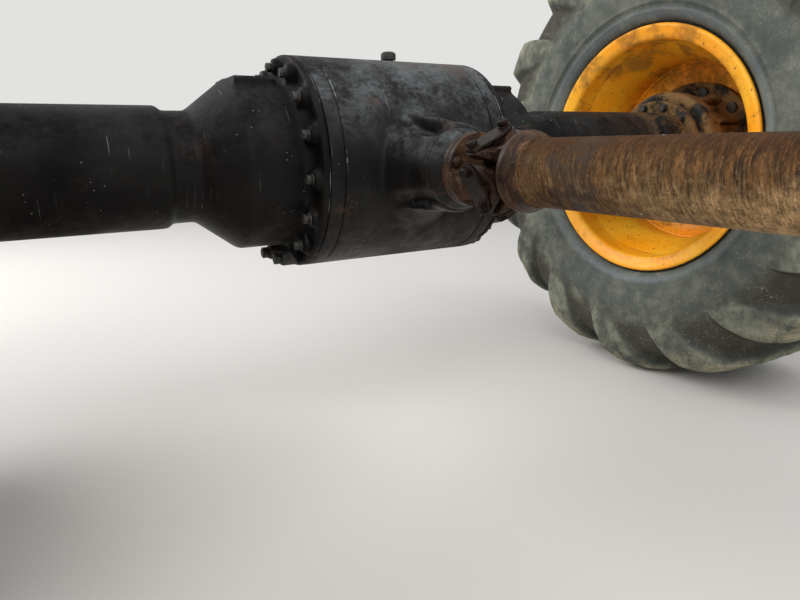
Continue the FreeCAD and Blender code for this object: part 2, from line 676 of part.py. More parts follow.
# Screwed cap that holds the seal on the sleeve's end
def sleeve_seal():
    bore = STUB_RADIUS + RUNNING_CLEARANCE
    return turned_y([
        (SLEEVE_Y, bore), (SLEEVE_Y, SLEEVE_SEAL_RADIUS),
        (SLEEVE_BODY_Y, SLEEVE_SEAL_RADIUS), (SLEEVE_BODY_Y, bore),
    ])


os.makedirs("parts", exist_ok=True)

save("centre_housing", centre_housing())
save("pinion_retainer", pinion_retainer())
save_both_sides("brake_ring", brake_ring())
save_both_sides("arm", arm())
save_both_sides("spindle", spindle())
save_both_sides("wheel_hub", wheel_hub())
save_both_sides("hub_cover", hub_cover())
save_both_sides("wheel_disc", wheel_disc())
save_both_sides("rim", rim())
save_both_sides("tyre", tyre())
save("companion_flange", companion_flange())
save("front_flange_yoke", flange_yoke(YOKE_FLANGE_Y, FRONT_CROSS_Y))
save("front_flange_yoke_caps", caps(FRONT_CROSS_Y, True))
save("front_cross", cross(FRONT_CROSS_Y))
save("tube_yoke", tube_yoke())
save("tube_yoke_caps", caps(FRONT_CROSS_Y, False))
save("shaft_tube", shaft_tube())
save("spline_stub", spline_stub())
save("sleeve_yoke", sleeve_yoke())
save("sleeve_yoke_caps", caps(REAR_CROSS_Y, False))
save("sleeve_seal", sleeve_seal())
save("rear_cross", cross(REAR_CROSS_Y))
save("rear_flange_yoke", flange_yoke(REAR_FACE_Y, REAR_CROSS_Y))
save("rear_flange_yoke_caps", caps(REAR_CROSS_Y, True))

print("cross centres at y", FRONT_CROSS_Y, REAR_CROSS_Y, "rear face", REAR_FACE_Y)
print("sleeve", SLEEVE_Y, SLEEVE_END_Y, "stub end", SHANK_Y - STUB_LENGTH)
print("wheel plane x", WHEEL_X, "spindle", SPINDLE_X, "hub", HUB_X)
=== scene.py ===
import json
import math

import bmesh
import bpy
from mathutils import Matrix, Vector, noise


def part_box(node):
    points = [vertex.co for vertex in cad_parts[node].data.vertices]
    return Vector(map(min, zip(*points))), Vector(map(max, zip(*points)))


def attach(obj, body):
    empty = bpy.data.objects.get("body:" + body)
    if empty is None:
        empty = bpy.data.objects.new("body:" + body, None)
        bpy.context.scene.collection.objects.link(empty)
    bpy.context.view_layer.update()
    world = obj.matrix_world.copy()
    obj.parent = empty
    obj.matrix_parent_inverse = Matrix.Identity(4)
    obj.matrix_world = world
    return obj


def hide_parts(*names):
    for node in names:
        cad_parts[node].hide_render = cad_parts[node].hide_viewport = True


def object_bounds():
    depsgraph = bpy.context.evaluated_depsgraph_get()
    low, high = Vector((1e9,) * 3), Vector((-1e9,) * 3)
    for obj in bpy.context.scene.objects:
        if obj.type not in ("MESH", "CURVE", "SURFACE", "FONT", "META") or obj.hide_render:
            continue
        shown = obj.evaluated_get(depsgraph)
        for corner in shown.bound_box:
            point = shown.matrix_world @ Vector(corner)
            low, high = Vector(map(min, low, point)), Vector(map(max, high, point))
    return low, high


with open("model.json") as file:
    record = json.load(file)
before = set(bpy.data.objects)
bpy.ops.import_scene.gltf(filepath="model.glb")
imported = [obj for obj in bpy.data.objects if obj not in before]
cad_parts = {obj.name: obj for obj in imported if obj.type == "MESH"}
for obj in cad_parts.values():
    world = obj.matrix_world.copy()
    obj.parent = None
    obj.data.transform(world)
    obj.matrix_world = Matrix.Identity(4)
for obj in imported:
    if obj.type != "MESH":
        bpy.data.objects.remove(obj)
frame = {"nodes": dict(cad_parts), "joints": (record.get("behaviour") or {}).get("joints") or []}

cad_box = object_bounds()

# The stage: a plain pale floor under the tyres, a pale sky and three large soft lamps.
# The camera stands low in front of the left arm, as in the photo, and looks along the beam to
# the far wheel. Its focal length is 600 pixels in a frame of 800, which is a 27 mm lens.
scene = bpy.context.scene
scene.view_settings.view_transform = "Standard"

EYE = Vector((-0.5109, -0.9752, -0.1014))
HEADING = math.radians(29.67)
TILT = math.radians(-14.54)
ROLL = math.radians(-1.02)
camera = bpy.data.objects.new("camera", bpy.data.cameras.new("camera"))
camera.data.sensor_width = 36
camera.data.lens = 27
camera.matrix_world = (
    Matrix.Translation(EYE)
    @ Matrix.Rotation(-HEADING, 4, "Z")
    @ Matrix.Rotation(math.pi / 2 + TILT, 4, "X")
    @ Matrix.Rotation(ROLL, 4, "Z")
)
scene.collection.objects.link(camera)
scene.camera = camera


class Wire:
    """An output of one of a material's nodes. Sums and products of wires add Math nodes."""

    def __init__(self, tree, socket):
        self.tree = tree
        self.socket = socket

    def node(self, kind, settings=None, values=None, output=0):
        made = self.tree.nodes.new("ShaderNode" + kind)
        for name, value in (settings or {}).items():
            setattr(made, name, value)
        for place, value in (values or {}).items():
            if isinstance(value, Wire):
                self.tree.links.new(value.socket, made.inputs[place])
            else:
                made.inputs[place].default_value = value
        return Wire(self.tree, made.outputs[output])

    def math(self, operation, *values):
        return self.node("Math", {"operation": operation}, dict(enumerate(values)))

    def __add__(self, other):
        return self.math("ADD", self, other)

    def __radd__(self, other):
        return self.math("ADD", other, self)

    def __sub__(self, other):
        return self.math("SUBTRACT", self, other)

    def __rsub__(self, other):
        return self.math("SUBTRACT", other, self)

    def __mul__(self, other):
        return self.math("MULTIPLY", self, other)

    def __rmul__(self, other):
        return self.math("MULTIPLY", other, self)

    def __pow__(self, other):
        return self.math("POWER", self, other)

    def __abs__(self):
        return self.math("ABSOLUTE", self)

    def rise(self, low, high):
        """0 below low and 1 above high, with a smooth step between them, or the other way round."""
        return self.node("MapRange", {"interpolation_type": "SMOOTHSTEP"}, {0: self, 1: low, 2: high})

    def near(self, middle, reach):
        """1 at the middle value, falling to 0 at reach on both sides of it."""
        return abs(self - middle).rise(reach, 0)

    def blend(self, first, second):
        """The colour first where this wire is 0, and second where it is 1."""
        return self.node("Mix", {"data_type": "RGBA"}, {0: self, 6: first, 7: second}, 2)

    def coated(self, share, red, green, blue):
        """This colour, with another laid over it where the wire share is 1."""
        return share.blend(self, seen(red, green, blue))

    def scaled(self, x, y, z):
        return self.node("Mapping", {}, {"Vector": self, "Scale": (x, y, z)})

    def noise(self, scale, detail=3, roughness=0.55, distortion=0):
        values = {"Vector": self, "Scale": scale, "Detail": detail, "Roughness": roughness,
                  "Distortion": distortion}
        return self.node("TexNoise", {}, values)

    def cells(self, scale):
        """Distance to the nearest of scattered points, for specks and chips."""
        return self.node("TexVoronoi", {"feature": "F1"}, {"Vector": self, "Scale": scale})

    def part(self, axis):
        return self.node("SeparateXYZ", {}, {0: self}, "XYZ".index(axis))


def seen(red, green, blue):
    """A colour as it is seen, in steps of 0 to 255, as the linear values that a shader takes."""
    linear = [
        ((c / 255 + 0.055) / 1.055) ** 2.4 if c > 10 else c / 255 / 12.92 for c in (red, green, blue)
    ]
    return (*linear, 1)


def new_finish(name, specular=0.5):
    """A new material's Principled shader, with its surface point and direction as wires."""
    material = bpy.data.materials.new(name)
    material.use_nodes = True
    tree = material.node_tree
    shader = tree.nodes["Principled BSDF"]
    shader.inputs["Specular IOR Level"].default_value = specular
    coordinates = tree.nodes.new("ShaderNodeTexCoord")
    place = Wire(tree, coordinates.outputs["Object"])
    facing = Wire(tree, coordinates.outputs["Normal"])
    return material, shader, place, facing


def give(shader, colour, roughness, relief=None, relief_height=0.001, metallic=0):
    """Connects what changes over the surface, or sets it where it is one number."""
    for name, value in {"Base Color": colour, "Roughness": roughness, "Metallic": metallic}.items():
        if isinstance(value, Wire):
            value.tree.links.new(value.socket, shader.inputs[name])
        else:
            shader.inputs[name].default_value = value
    if relief is not None:
        bump = relief.node("Bump", {}, {"Height": relief, "Strength": 1, "Distance": relief_height})
        relief.tree.links.new(bump.socket, shader.inputs["Normal"])


def to_object(bm, name, sharp=math.radians(38)):
    """The finished mesh as a piece of the scene, smooth but for edges that turn more than sharp."""
    mesh = bpy.data.meshes.new(name)
    bm.to_mesh(mesh)
    bm.free()
    mesh.shade_smooth()
    mesh.set_sharp_from_angle(angle=sharp)
    piece = bpy.data.objects.new(name, mesh)
    scene.collection.objects.link(piece)
    return piece


FLOOR_SIZE = 40
floor_mesh = bmesh.new()
floor_place = Matrix.Translation((0, 0, cad_box[0].z))
bmesh.ops.create_grid(floor_mesh, x_segments=1, y_segments=1, size=FLOOR_SIZE / 2, matrix=floor_place)
floor = to_object(floor_mesh, "floor")
floor_finish, floor_shader, place, facing = new_finish("pale_floor")
give(floor_shader, seen(214, 211, 205), 0.9)
floor.data.materials.append(floor_finish)

SKY = (0.93, 0.95, 1, 1)
SKY_STRENGTH = 0.6
BACKDROP = seen(226, 226, 224)
world = bpy.data.worlds.new("sky")
scene.world = world
world.use_nodes = True
tree = world.node_tree
path = tree.nodes.new("ShaderNodeLightPath")
seen_rays = Wire(tree, path.outputs["Is Camera Ray"])
for ray in ("Is Glossy Ray", "Is Transmission Ray"):
    seen_rays = seen_rays.math("MAXIMUM", seen_rays, Wire(tree, path.outputs[ray]))
light = seen_rays.node("Background", {}, {"Color": SKY, "Strength": SKY_STRENGTH})
backdrop = seen_rays.node("Background", {}, {"Color": BACKDROP, "Strength": 1})
sky = seen_rays.node("MixShader", {}, {0: seen_rays, 1: light, 2: backdrop})
tree.links.new(sky.socket, tree.nodes["World Output"].inputs["Surface"])

LAMPS = [  # each lamp's place, its side in metres, and watts
    ((1.4, -1.9, 2.2), 2.2, 32),
    ((-1.6, -2.1, 1.7), 2.0, 52),
    ((-2.3, 2.5, 2.0), 2.4, 120),
]
LAMPS_AIM = Vector((0.2, 0, -0.25))
for number, (lamp_place, side, power) in enumerate(LAMPS):
    lamp = bpy.data.lights.new("lamp_%d" % number, "AREA")
    lamp.size = side
    lamp.energy = power
    lamp_object = bpy.data.objects.new(lamp.name, lamp)
    lamp_turn = (LAMPS_AIM - Vector(lamp_place)).to_track_quat("-Z", "Y").to_matrix().to_4x4()
    lamp_object.matrix_world = Matrix.Translation(lamp_place) @ lamp_turn
    scene.collection.objects.link(lamp_object)

# The centre housing is one iron casting: a barrel for the differential with the pinion's nose
# in front, and a web above and below the nose, hollowed beside it. It is painted black, wet with
# oil and dusty, and its two ends are machined flat for the brake rings.
AXLE = Vector((0, 0, -0.130))
PINION = Vector((0, 0, -0.137))
HOUSING_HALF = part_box("centre_housing")[1].x
HOUSING_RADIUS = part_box("brake_ring_right")[1].z - AXLE.z
SEAMS = [HOUSING_HALF - 0.002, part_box("brake_ring_right")[1].x + 0.002]


def shape_of(node):
    """A copy of a frame node's mesh, with its loose triangles joined up."""
    bm = bmesh.new()
    bm.from_mesh(frame["nodes"][node].data)
    bmesh.ops.remove_doubles(bm, verts=bm.verts, dist=0.00001)
    return bm


def step(value, low, high):
    """0 at low and 1 at high, with a smooth step between them."""
    share = min(max((value - low) / (high - low), 0), 1)
    return share * share * (3 - 2 * share)


def carried_out(piece, kind, **settings):
    """The piece's mesh with one modifier carried out."""
    modifier = piece.modifiers.new("shaping", kind)
    for name, value in settings.items():
        setattr(modifier, name, value)
    depsgraph = bpy.context.evaluated_depsgraph_get()
    mesh = bpy.data.meshes.new_from_object(piece.evaluated_get(depsgraph))
    piece.modifiers.clear()
    return mesh


KEPT_FACES = 0.4  # the share of a casting's triangles that is left after it is thinned


def cast(bm, name, grain, rounds, machined=None, carved=None):
    """Closed shapes run together into one casting. Its corners are softened in some rounds, but
    not where machined says so, and carved moves each point first. The grain is in metres."""
    piece = to_object(bm, name)
    bm = bmesh.new()
    bm.from_mesh(carried_out(piece, "REMESH", mode="VOXEL", voxel_size=grain))
    if carved is not None:
        for v in bm.verts:
            v.co += carved(v.co)
    soft = [v for v in bm.verts if machined is None or not machined(v.co)]
    for _ in range(rounds):
        bmesh.ops.smooth_vert(
            bm, verts=soft, factor=0.5, use_axis_x=True, use_axis_y=True, use_axis_z=True
        )
    bm.to_mesh(piece.data)
    bm.free()
    piece.data = carried_out(piece, "DECIMATE", ratio=KEPT_FACES)
    piece.data.shade_smooth()
    return piece


def dress(piece, body, slot, finish, *replaced):
    """A finished piece takes its finish, rides on its body and stands for its frame nodes."""
    piece.data.materials.clear()
    piece.data.materials.append(finish)
    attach(piece, body)
    if replaced:
        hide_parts(*replaced)


def black_paint(name, dust_and_sheen, mud_from, mud_to):
    """Black paint on cast iron: oily, blotched on top with grey dust that is also painted sheen, brown
    dust below, and mud where the distance from the axle's middle passes mud_to."""
    material, shader, place, facing = new_finish(name, 0.07 + dust_and_sheen * 0.15)
    up = facing.part("Z")
    outboard = abs(place.part("X"))
    cloud = place.noise(9, 5, 0.6, 0.3)
    blotch = place.noise(38, 6, 0.72, 0.25)
    speckle = place.noise(150, 5, 0.7)
    colour = cloud.rise(0.35, 0.65).blend(seen(9, 8, 8), seen(24, 23, 22))
    patch = (cloud * 0.45 + blotch * 0.35 + speckle * 0.3).rise(0.44, 0.7)
    # Grey dust on upward faces, which also serves as painted sheen on the black paint.
    film = up.rise(0.0, 0.8) * patch
    colour = colour.coated(film * dust_and_sheen, 112, 116, 118)
    rust = (place.noise(11.3, 5, 0.6) + up * 0.03).rise(0.58, 0.68) * speckle.rise(0.42, 0.58)
    colour = colour.coated(rust * (0.15 + dust_and_sheen), 74, 48, 33)
    below = (0 - up).rise(0.3, 0.9) * blotch.rise(0.44, 0.64)
    colour = colour.coated(below * (0.1 + 0.5 * dust_and_sheen), 84, 68, 49)
    pit = blotch.rise(0.44, 0.36) * up.rise(0, 0.5)
    colour = colour.coated(pit * 0.8, 12, 11, 11)
    rings = place.scaled(640, 7, 7).noise(1, 2, 0.5).rise(0.68, 0.75)
    scratch = rings * place.noise(24, 2).rise(0.5, 0.62)
    colour = colour.coated(scratch * 0.5, 150, 152, 150)
    speck = place.cells(100).rise(0.12, 0.07) * place.noise(17, 2).rise(0.56, 0.66)
    colour = colour.coated(speck * 0.6, 150, 150, 146)
    dark_spot = place.cells(70).rise(0.2, 0.1) * place.noise(27, 2).rise(0.5, 0.58) * up.rise(0, 0.5)
    colour = colour.coated(dark_spot * 0.7, 14, 13, 13)
    for seam in SEAMS:
        scuff = outboard.near(seam, 0.0011) * place.noise(19, 4, 0.7).rise(0.5, 0.6)
        colour = colour.coated(scuff * 0.6, 158, 160, 158)
    mud = outboard.rise(mud_from, mud_to) * (place.noise(17, 5, 0.7) + up * 0.06).rise(0.42, 0.6)
    colour = colour.coated(mud * (0.55 + 0.45 * speckle), 132, 102, 64)
    wet = place.noise(6, 3).rise(0.42, 0.6) * (1 - film * 0.6) * (1 - mud)
    roughness = 0.58 - wet * 0.24 + mud * 0.3 + film * 0.1 + speckle * 0.1
    relief = place.noise(40, 3) * 0.5 + place.noise(420, 3, 0.6) * 0.2 + mud * blotch * 1.4 + patch * 0.15
    give(shader, colour, roughness, relief, 0.0022)
    return material


housing_paint = black_paint("black_casting", 0.62, 0.40, 0.62)

# The two webs' edges in degrees about the pinion from straight up towards +X, how far they stand
# above the front of the nose, and the depth of the hollows beside them. The others are metres in
# front of the axle between which a hollow or a web begins, and the webs end.
WEBS = [(-16, 46, 0.006, 0.009), (150, 220, 0.003, 0.005)]
WEB_FLANK = 4  # degrees
HOLLOW_TURN = 22  # degrees
HOLLOW_START = (0.140, 0.195)
WEB_RISE = (0.185, 0.232)
WEB_END = (0.254, 0.266)
MACHINED_BAND = 0.008
HOUSING_GRAIN = 0.0026
CASTING_ROUNDS = 5


def housing_ends(point):
    """The machined bands at the barrel's two ends."""
    return abs(point.x) > HOUSING_HALF - MACHINED_BAND


def at_webs(point):
    """How far a point of the nose is raised on its webs, or hollowed beside them."""
    out = Vector((point.x - PINION.x, 0, point.z - PINION.z))
    degrees = math.degrees(math.atan2(out.x, out.z))
    before_end = 1 - step(-point.y, *WEB_END)
    moved = 0.0
    for start, end, height, depth in WEBS:
        inside = min((degrees - start) % 360, (end - degrees) % 360)
        beside = min((start - degrees) % 360, (degrees - end) % 360) / HOLLOW_TURN
        if (degrees - start) % 360 < end - start:
            moved += height * step(-point.y, *WEB_RISE) * step(inside, 0, WEB_FLANK)
        elif beside < 1:
            hollow = 2.6 * math.sqrt(beside) * (1 - beside)  # 1 at its deepest, near its web
            moved -= depth * step(-point.y, *HOLLOW_START) * hollow
    return out.normalized() * (moved * before_end)


housing = cast(
    shape_of("centre_housing"), "centre_housing_casting", HOUSING_GRAIN, CASTING_ROUNDS,
    housing_ends, at_webs,
)
dress(housing, "axle", "axle_black", housing_paint, "centre_housing")


def join(whole, made):
    """Puts a finished closed shape into a piece's mesh."""
    bmesh.ops.recalc_face_normals(made, faces=made.faces)
    mesh = bpy.data.meshes.new("shape")
    made.to_mesh(mesh)
    made.free()
    whole.from_mesh(mesh)
    bpy.data.meshes.remove(mesh)


def aimed(point, direction, turned=0):
    """The matrix that takes a shape drawn along +X to a point, along a direction."""
    track = Vector(direction).to_track_quat("X", "Z").to_matrix().to_4x4()
    return Matrix.Translation(point) @ track @ Matrix.Rotation(turned, 4, "X")


def plain_round(start, end, radius, bore=0):
    """The profile of a plain round piece between two places along its axis."""
    return [(start, bore), (start, radius), (end, radius), (end, bore)]


def turn(whole, profile, place, steps=24, soft=0.0):
    """Adds a shape turned from points (along, radius), closed if the points leave its axis, with
    the profile's corners rounded by soft."""
    made = bmesh.new()
    ring = [made.verts.new((along, 0, radius)) for along, radius in profile]
    open_ends = profile[0][1] == 0 and profile[-1][1] == 0
    for first, second in zip(ring, ring[1:] + ([] if open_ends else ring[:1])):
        made.edges.new((first, second))
    if soft:
        corners = ring[1:-1] if open_ends else ring
        bmesh.ops.bevel(
            made, geom=corners, offset=soft, segments=3, profile=0.5, affect="VERTICES", material=-1
        )
    bmesh.ops.spin(
        made, geom=made.verts[:] + made.edges[:], cent=(0, 0, 0), axis=(1, 0, 0), angle=math.tau,
        steps=steps, use_merge=True,
    )
    bmesh.ops.remove_doubles(made, verts=made.verts, dist=0.000001)
    bmesh.ops.transform(made, matrix=place, verts=made.verts)
    join(whole, made)


def hexagon(whole, place, flats, height):
    """Adds a bolt's head or a nut, with its corners broken."""
    made = bmesh.new()
    corner = flats / math.sqrt(3)
    stand = Matrix.Translation((height / 2, 0, 0)) @ Matrix.Rotation(math.pi / 2, 4, "Y")
    bmesh.ops.create_cone(
        made, cap_ends=True, segments=6, radius1=corner, radius2=corner, depth=height,
        matrix=place @ stand,
    )
    bmesh.ops.bevel(
        made, geom=made.edges[:], offset=flats * 0.06, segments=1, profile=0.5, affect="EDGES",
        material=-1,
    )
    join(whole, made)


def bolt(whole, point, direction, flats, height, turned, stud=0.0):
    """Adds a washer with a bolt's head on it and a rolled ring on top, or a nut with the end of
    its stud. All follow the size across the flats."""
    place = aimed(point, direction, turned)
    washer = flats * 0.11
    rim = flats * 0.66
    turn(whole, [(-0.001, 0), (-0.001, rim), (washer, rim), (washer * 1.1, 0)], place, 18, washer * 0.3)
    hexagon(whole, place @ Matrix.Translation((washer, 0, 0)), flats, height)
    end = washer + height
    if stud:
        turn(whole, plain_round(end - 0.001, end + stud, flats * 0.31), place, 14, 0.001)
    else:
        dish = flats * 0.36
        turn(whole, plain_round(end - 0.0004, end + 0.0004, dish, dish * 0.9), place, 18)


# The housing's two plugs and its breather are steel, screwed in with a washer. The oil is filled
# and checked at the back and drained at the bottom, and the breather stands on top.
def plain_steel(name, dark, light):
    """Bolt steel: dull, with spots of rust and dirt."""
    material, shader, place, facing = new_finish(name)
    film = place.noise(70, 4, 0.65)
    colour = film.rise(0.36, 0.64).blend(dark, light)
    colour = colour.coated(place.noise(200, 3, 0.7).rise(0.56, 0.7) * 0.7, 84, 54, 34)
    give(shader, colour, 0.4 + film * 0.4, place.noise(300, 4, 0.6), 0.0006, 0.2)
    return material


black_bolts = plain_steel("painted_bolts", seen(15, 14, 13), seen(52, 52, 50))
PLUG_PLACES = ((0.045, 200), (-0.060, 238))  # across, and degrees from -Y towards +Z
PLUG_FLATS = 0.024
PLUG_WASHER = 0.003
BREATHER_X, BREATHER_Y = 0.052, 0.040
BREATHER_PROFILE = [
    (-0.006, 0), (-0.006, 0.0105), (0.007, 0.0105), (0.007, 0.007), (0.013, 0.007), (0.013, 0.0135),
    (0.024, 0.0135), (0.027, 0.009), (0.027, 0),
]
plugs = bmesh.new()
for across, degrees in PLUG_PLACES:
    direction = Vector((0, -math.cos(math.radians(degrees)), math.sin(math.radians(degrees))))
    foot = AXLE + Vector((across, 0, 0)) + direction * HOUSING_RADIUS
    plug_place = aimed(foot, direction)
    turn(plugs, plain_round(-0.004, PLUG_WASHER, 0.021), plug_place, 32, 0.0008)
    hexagon(plugs, plug_place @ Matrix.Translation((PLUG_WASHER, 0, 0)), PLUG_FLATS, 0.009)
foot = AXLE + Vector((BREATHER_X, BREATHER_Y, math.sqrt(HOUSING_RADIUS ** 2 - BREATHER_Y ** 2)))
turn(plugs, BREATHER_PROFILE, aimed(foot, (0, 0, 1)), 28, 0.0008)
dress(to_object(plugs, "housing_plugs"), "axle", "axle_black", black_bolts)

# The brake rings are turned iron rings between the housing and the arms. The two seams beside
# each of them are scuffed bright where the paint has gone.
SIDES = (("left", -1), ("right", 1))
RING_BORE = 0.112
for side, sign in SIDES:
    low, high = (corner.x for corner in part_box("brake_ring_" + side))
    ring = bmesh.new()
    profile = plain_round(low, high, HOUSING_RADIUS, RING_BORE)
    turn(ring, profile, Matrix.Translation(AXLE), 160, 0.0022)
    dress(to_object(ring, "brake_ring_turned_" + side), "axle", "axle_black", housing_paint,
          "brake_ring_" + side)

# The arms are iron castings, bolted on through a round flange with fifteen bosses. Each has a
# shoulder with the frame pad on top, a cone and a long tube out to the spindle, with a stop cast
# on the front of the tube beside the wheel. Angles are degrees from -Y towards +Z.
ARM_GRAIN = 0.0031
ARM_FLANGE_END = 0.164
PAD_DEPTH = 0.006
BOSS_FACE = 0.182
BOLT_CIRCLE = 0.149
ARM_BOLTS = 15
ARM_BOLT_FIRST = -7
ARM_BOLT_FLATS = 0.013
LONG_BOLTS = (11, 12)  # these two stand further out, on longer bosses
LONG_BOSS_FOOT = 0.170
LONG_BOSS = 0.026
LONG_BOLT_CIRCLE = 0.153
LONG_BOLT_FLATS = 0.017
PAD_HOLES = [(0.212, 0.042), (0.242, 0.042), (0.212, -0.042), (0.242, -0.042)]
PAD_HOLE_RADIUS = 0.00925
PAD_HOLE_EDGE = [  # a ring round the tapped hole's widened mouth
    (-0.006, PAD_HOLE_RADIUS), (-0.0012, PAD_HOLE_RADIUS), (0, PAD_HOLE_RADIUS + 0.0012),
    (0.0002, 0.0135), (-0.006, 0.0135),
]
ARM_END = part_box("arm_right")[1].x
END_BOLT_CIRCLE = 0.103
END_BOLTS = 12
END_BOLT_FIRST = 15
STOP_X = 0.684
STOP_ANGLES = range(-14, 43, 7)
STOP_RADIUS = 0.096
STOP_SIZE = (0.066, 0.032, 0.018)
arm_paint = black_paint("black_arm", 0.1, 0.58, 0.74)


def round_axle(across, radius, degrees):
    """A point at an angle about the axle from -Y towards +Z."""
    angle = math.radians(degrees)
    return AXLE + Vector((across, -radius * math.cos(angle), radius * math.sin(angle)))


def arm_faces(point):
    """The arm's machined flange and the top of its pad."""
    return abs(point.x) < ARM_FLANGE_END or point.z > -PAD_DEPTH


for side, sign in SIDES:
    bm = shape_of("arm_" + side)
    for degrees in STOP_ANGLES:
        made = bmesh.new()
        middle = Matrix.Translation(round_axle(sign * STOP_X, STOP_RADIUS, degrees))
        turned = Matrix.Rotation(math.radians(-degrees), 4, "X")
        bmesh.ops.create_cube(made, size=1, matrix=middle @ turned @ Matrix.Diagonal((*STOP_SIZE, 1)))
        join(bm, made)
    arm = cast(bm, "arm_casting_" + side, ARM_GRAIN, CASTING_ROUNDS, arm_faces)
    dress(arm, "axle", "axle_black", arm_paint, "arm_" + side)

    bolts = bmesh.new()
    outward = Vector((sign, 0, 0))
    for number in range(ARM_BOLTS):
        degrees = ARM_BOLT_FIRST + 360 / ARM_BOLTS * number
        turned = 0.7 * math.sin(number * 5.1)  # each head has come to rest at its own angle
        if number in LONG_BOLTS:
            foot = round_axle(sign * LONG_BOSS_FOOT, LONG_BOLT_CIRCLE, degrees)
            turn(bolts, plain_round(0, LONG_BOSS, 0.0125), aimed(foot, outward), 24, 0.002)
            bolt(bolts, foot + outward * LONG_BOSS, outward, LONG_BOLT_FLATS, 0.011, turned)
        else:
            foot = round_axle(sign * BOSS_FACE, BOLT_CIRCLE, degrees)
            bolt(bolts, foot, outward, ARM_BOLT_FLATS, 0.008, turned)
    for number in range(END_BOLTS):
        foot = round_axle(sign * ARM_END, END_BOLT_CIRCLE, END_BOLT_FIRST + 360 / END_BOLTS * number)
        bolt(bolts, foot, -outward, 0.014, 0.009, number)
    for across, y in PAD_HOLES:
        turn(bolts, PAD_HOLE_EDGE, aimed((sign * across, y, -0.0004), (0, 0, 1)), 32)
    dress(to_object(bolts, "arm_bolts_" + side), "axle", "axle_black", black_bolts)

# The spindles are forged ends bolted to the arms. The hubs that turn on them are black iron
# castings with a broad drum, a waist and the wheel's flange, caked with dried mud.
WHEEL_X = 0.880
HUB_FLANGE_BACK = 0.883
HUB_FLANGE_FACE = 0.903
hub_paint = black_paint("muddy_casting", 0.3, 0.2, 0.5)


def wheel_place(sign):
    """The matrix that takes a shape drawn for the right wheel to its side of the axle."""
    return Matrix.Translation(AXLE) @ Matrix.Diagonal((sign, 1, 1, 1))


SPINDLE_PROFILE = [
    (0.7365, 0), (0.7365, 0.116), (0.757, 0.116), (0.757, 0.070), (0.877, 0.070), (0.877, 0),
]
HUB_PROFILE = [
    (0.765, 0.0705), (0.765, 0.128), (0.771, 0.136), (0.806, 0.136), (0.812, 0.1245), (0.874, 0.1245),
    (HUB_FLANGE_BACK, 0.138), (HUB_FLANGE_BACK, 0.162), (HUB_FLANGE_FACE, 0.162),
    (HUB_FLANGE_FACE, 0.110), (0.927, 0.110), (0.927, 0.05), (0.885, 0.05), (0.885, 0.0705),
]
HUB_RIBS = 12
RIB_X = 0.845
RIB_RADIUS = 0.128
RIB_SIZE = (0.084, 0.011, 0.018)
for side, sign in SIDES:
    spindle = bmesh.new()
    turn(spindle, SPINDLE_PROFILE, wheel_place(sign), 96, 0.002)
    dress(to_object(spindle, "spindle_forging_" + side), "axle", "axle_black", hub_paint,
          "spindle_" + side)
    hub = bmesh.new()
    turn(hub, HUB_PROFILE, wheel_place(sign), 120, 0.0022)
    for number in range(HUB_RIBS):
        made = bmesh.new()
        place = (
            Matrix.Translation(AXLE) @ Matrix.Rotation(math.tau / HUB_RIBS * number, 4, "X")
            @ Matrix.Translation((sign * RIB_X, 0, RIB_RADIUS)) @ Matrix.Diagonal((*RIB_SIZE, 1))
        )
        bmesh.ops.create_cube(made, size=1, matrix=place)
        bmesh.ops.bevel(
            made, geom=made.edges[:], offset=0.003, segments=2, profile=0.5, affect="EDGES", material=-1
        )
        join(hub, made)
    dress(to_object(hub, "hub_casting_" + side), "wheel_" + side, "hub_black", hub_paint,
          "wheel_hub_" + side)

# The covers of the hubs' planetary gears are iron castings on the outside of the wheels, each
# held by twelve bolts, with a filler plug beside a raised centre.
COVER_FACE = 0.945
COVER_END = 1.009
COVER_BOLTS = 12
COVER_BOLT_CIRCLE = 0.0955
FILLER_PLACE = (0.048, 250)  # from the axle's line, and degrees from -Y towards +Z
FILLER_WASHER = 0.0025
COVER_PROFILE = [
    (0.9265, 0), (0.9265, 0.106), (COVER_FACE, 0.106), (COVER_FACE, 0.086), (0.950, 0.0835),
    (0.992, 0.081), (1.004, 0.073), (COVER_END, 0.060), (COVER_END, 0.036), (1.006, 0.032), (1.006, 0),
]
for side, sign in SIDES:
    cover = bmesh.new()
    turn(cover, COVER_PROFILE, wheel_place(sign), 96, 0.002)
    dress(to_object(cover, "hub_cover_casting_" + side), "wheel_" + side, "hub_black", hub_paint,
          "hub_cover_" + side)
    bolts = bmesh.new()
    outward = Vector((sign, 0, 0))
    for number in range(COVER_BOLTS):
        foot = round_axle(sign * COVER_FACE, COVER_BOLT_CIRCLE, 360 / COVER_BOLTS * number)
        bolt(bolts, foot, outward, 0.013, 0.008, number)
    plug_place = aimed(round_axle(sign * (COVER_END - 0.001), *FILLER_PLACE), outward)
    turn(bolts, plain_round(0, FILLER_WASHER, 0.0155), plug_place, 28, 0.0006)
    hexagon(bolts, plug_place @ Matrix.Translation((FILLER_WASHER, 0, 0)), 0.019, 0.007)
    dress(to_object(bolts, "hub_cover_bolts_" + side), "wheel_" + side, "hub_black", black_bolts)

# The discs are pressed steel, dished near the edge and welded inside the rims, and held to the
# hub by ten nuts. Disc and rim are painted yellow-orange, chipped by stones and muddy.
DISC_NUTS = 10
NUT_CIRCLE = 0.138
DISC_OUTSIDE = 0.917
# The dark lines round a rim's inner side, dirt and painted shade in its creases: from the wheel's middle,
# half as wide, and how thick
GROOVE_DIRT_AND_SHADE = [(0.1725, 0.0035, 0.5), (0.1210, 0.004, 1)]


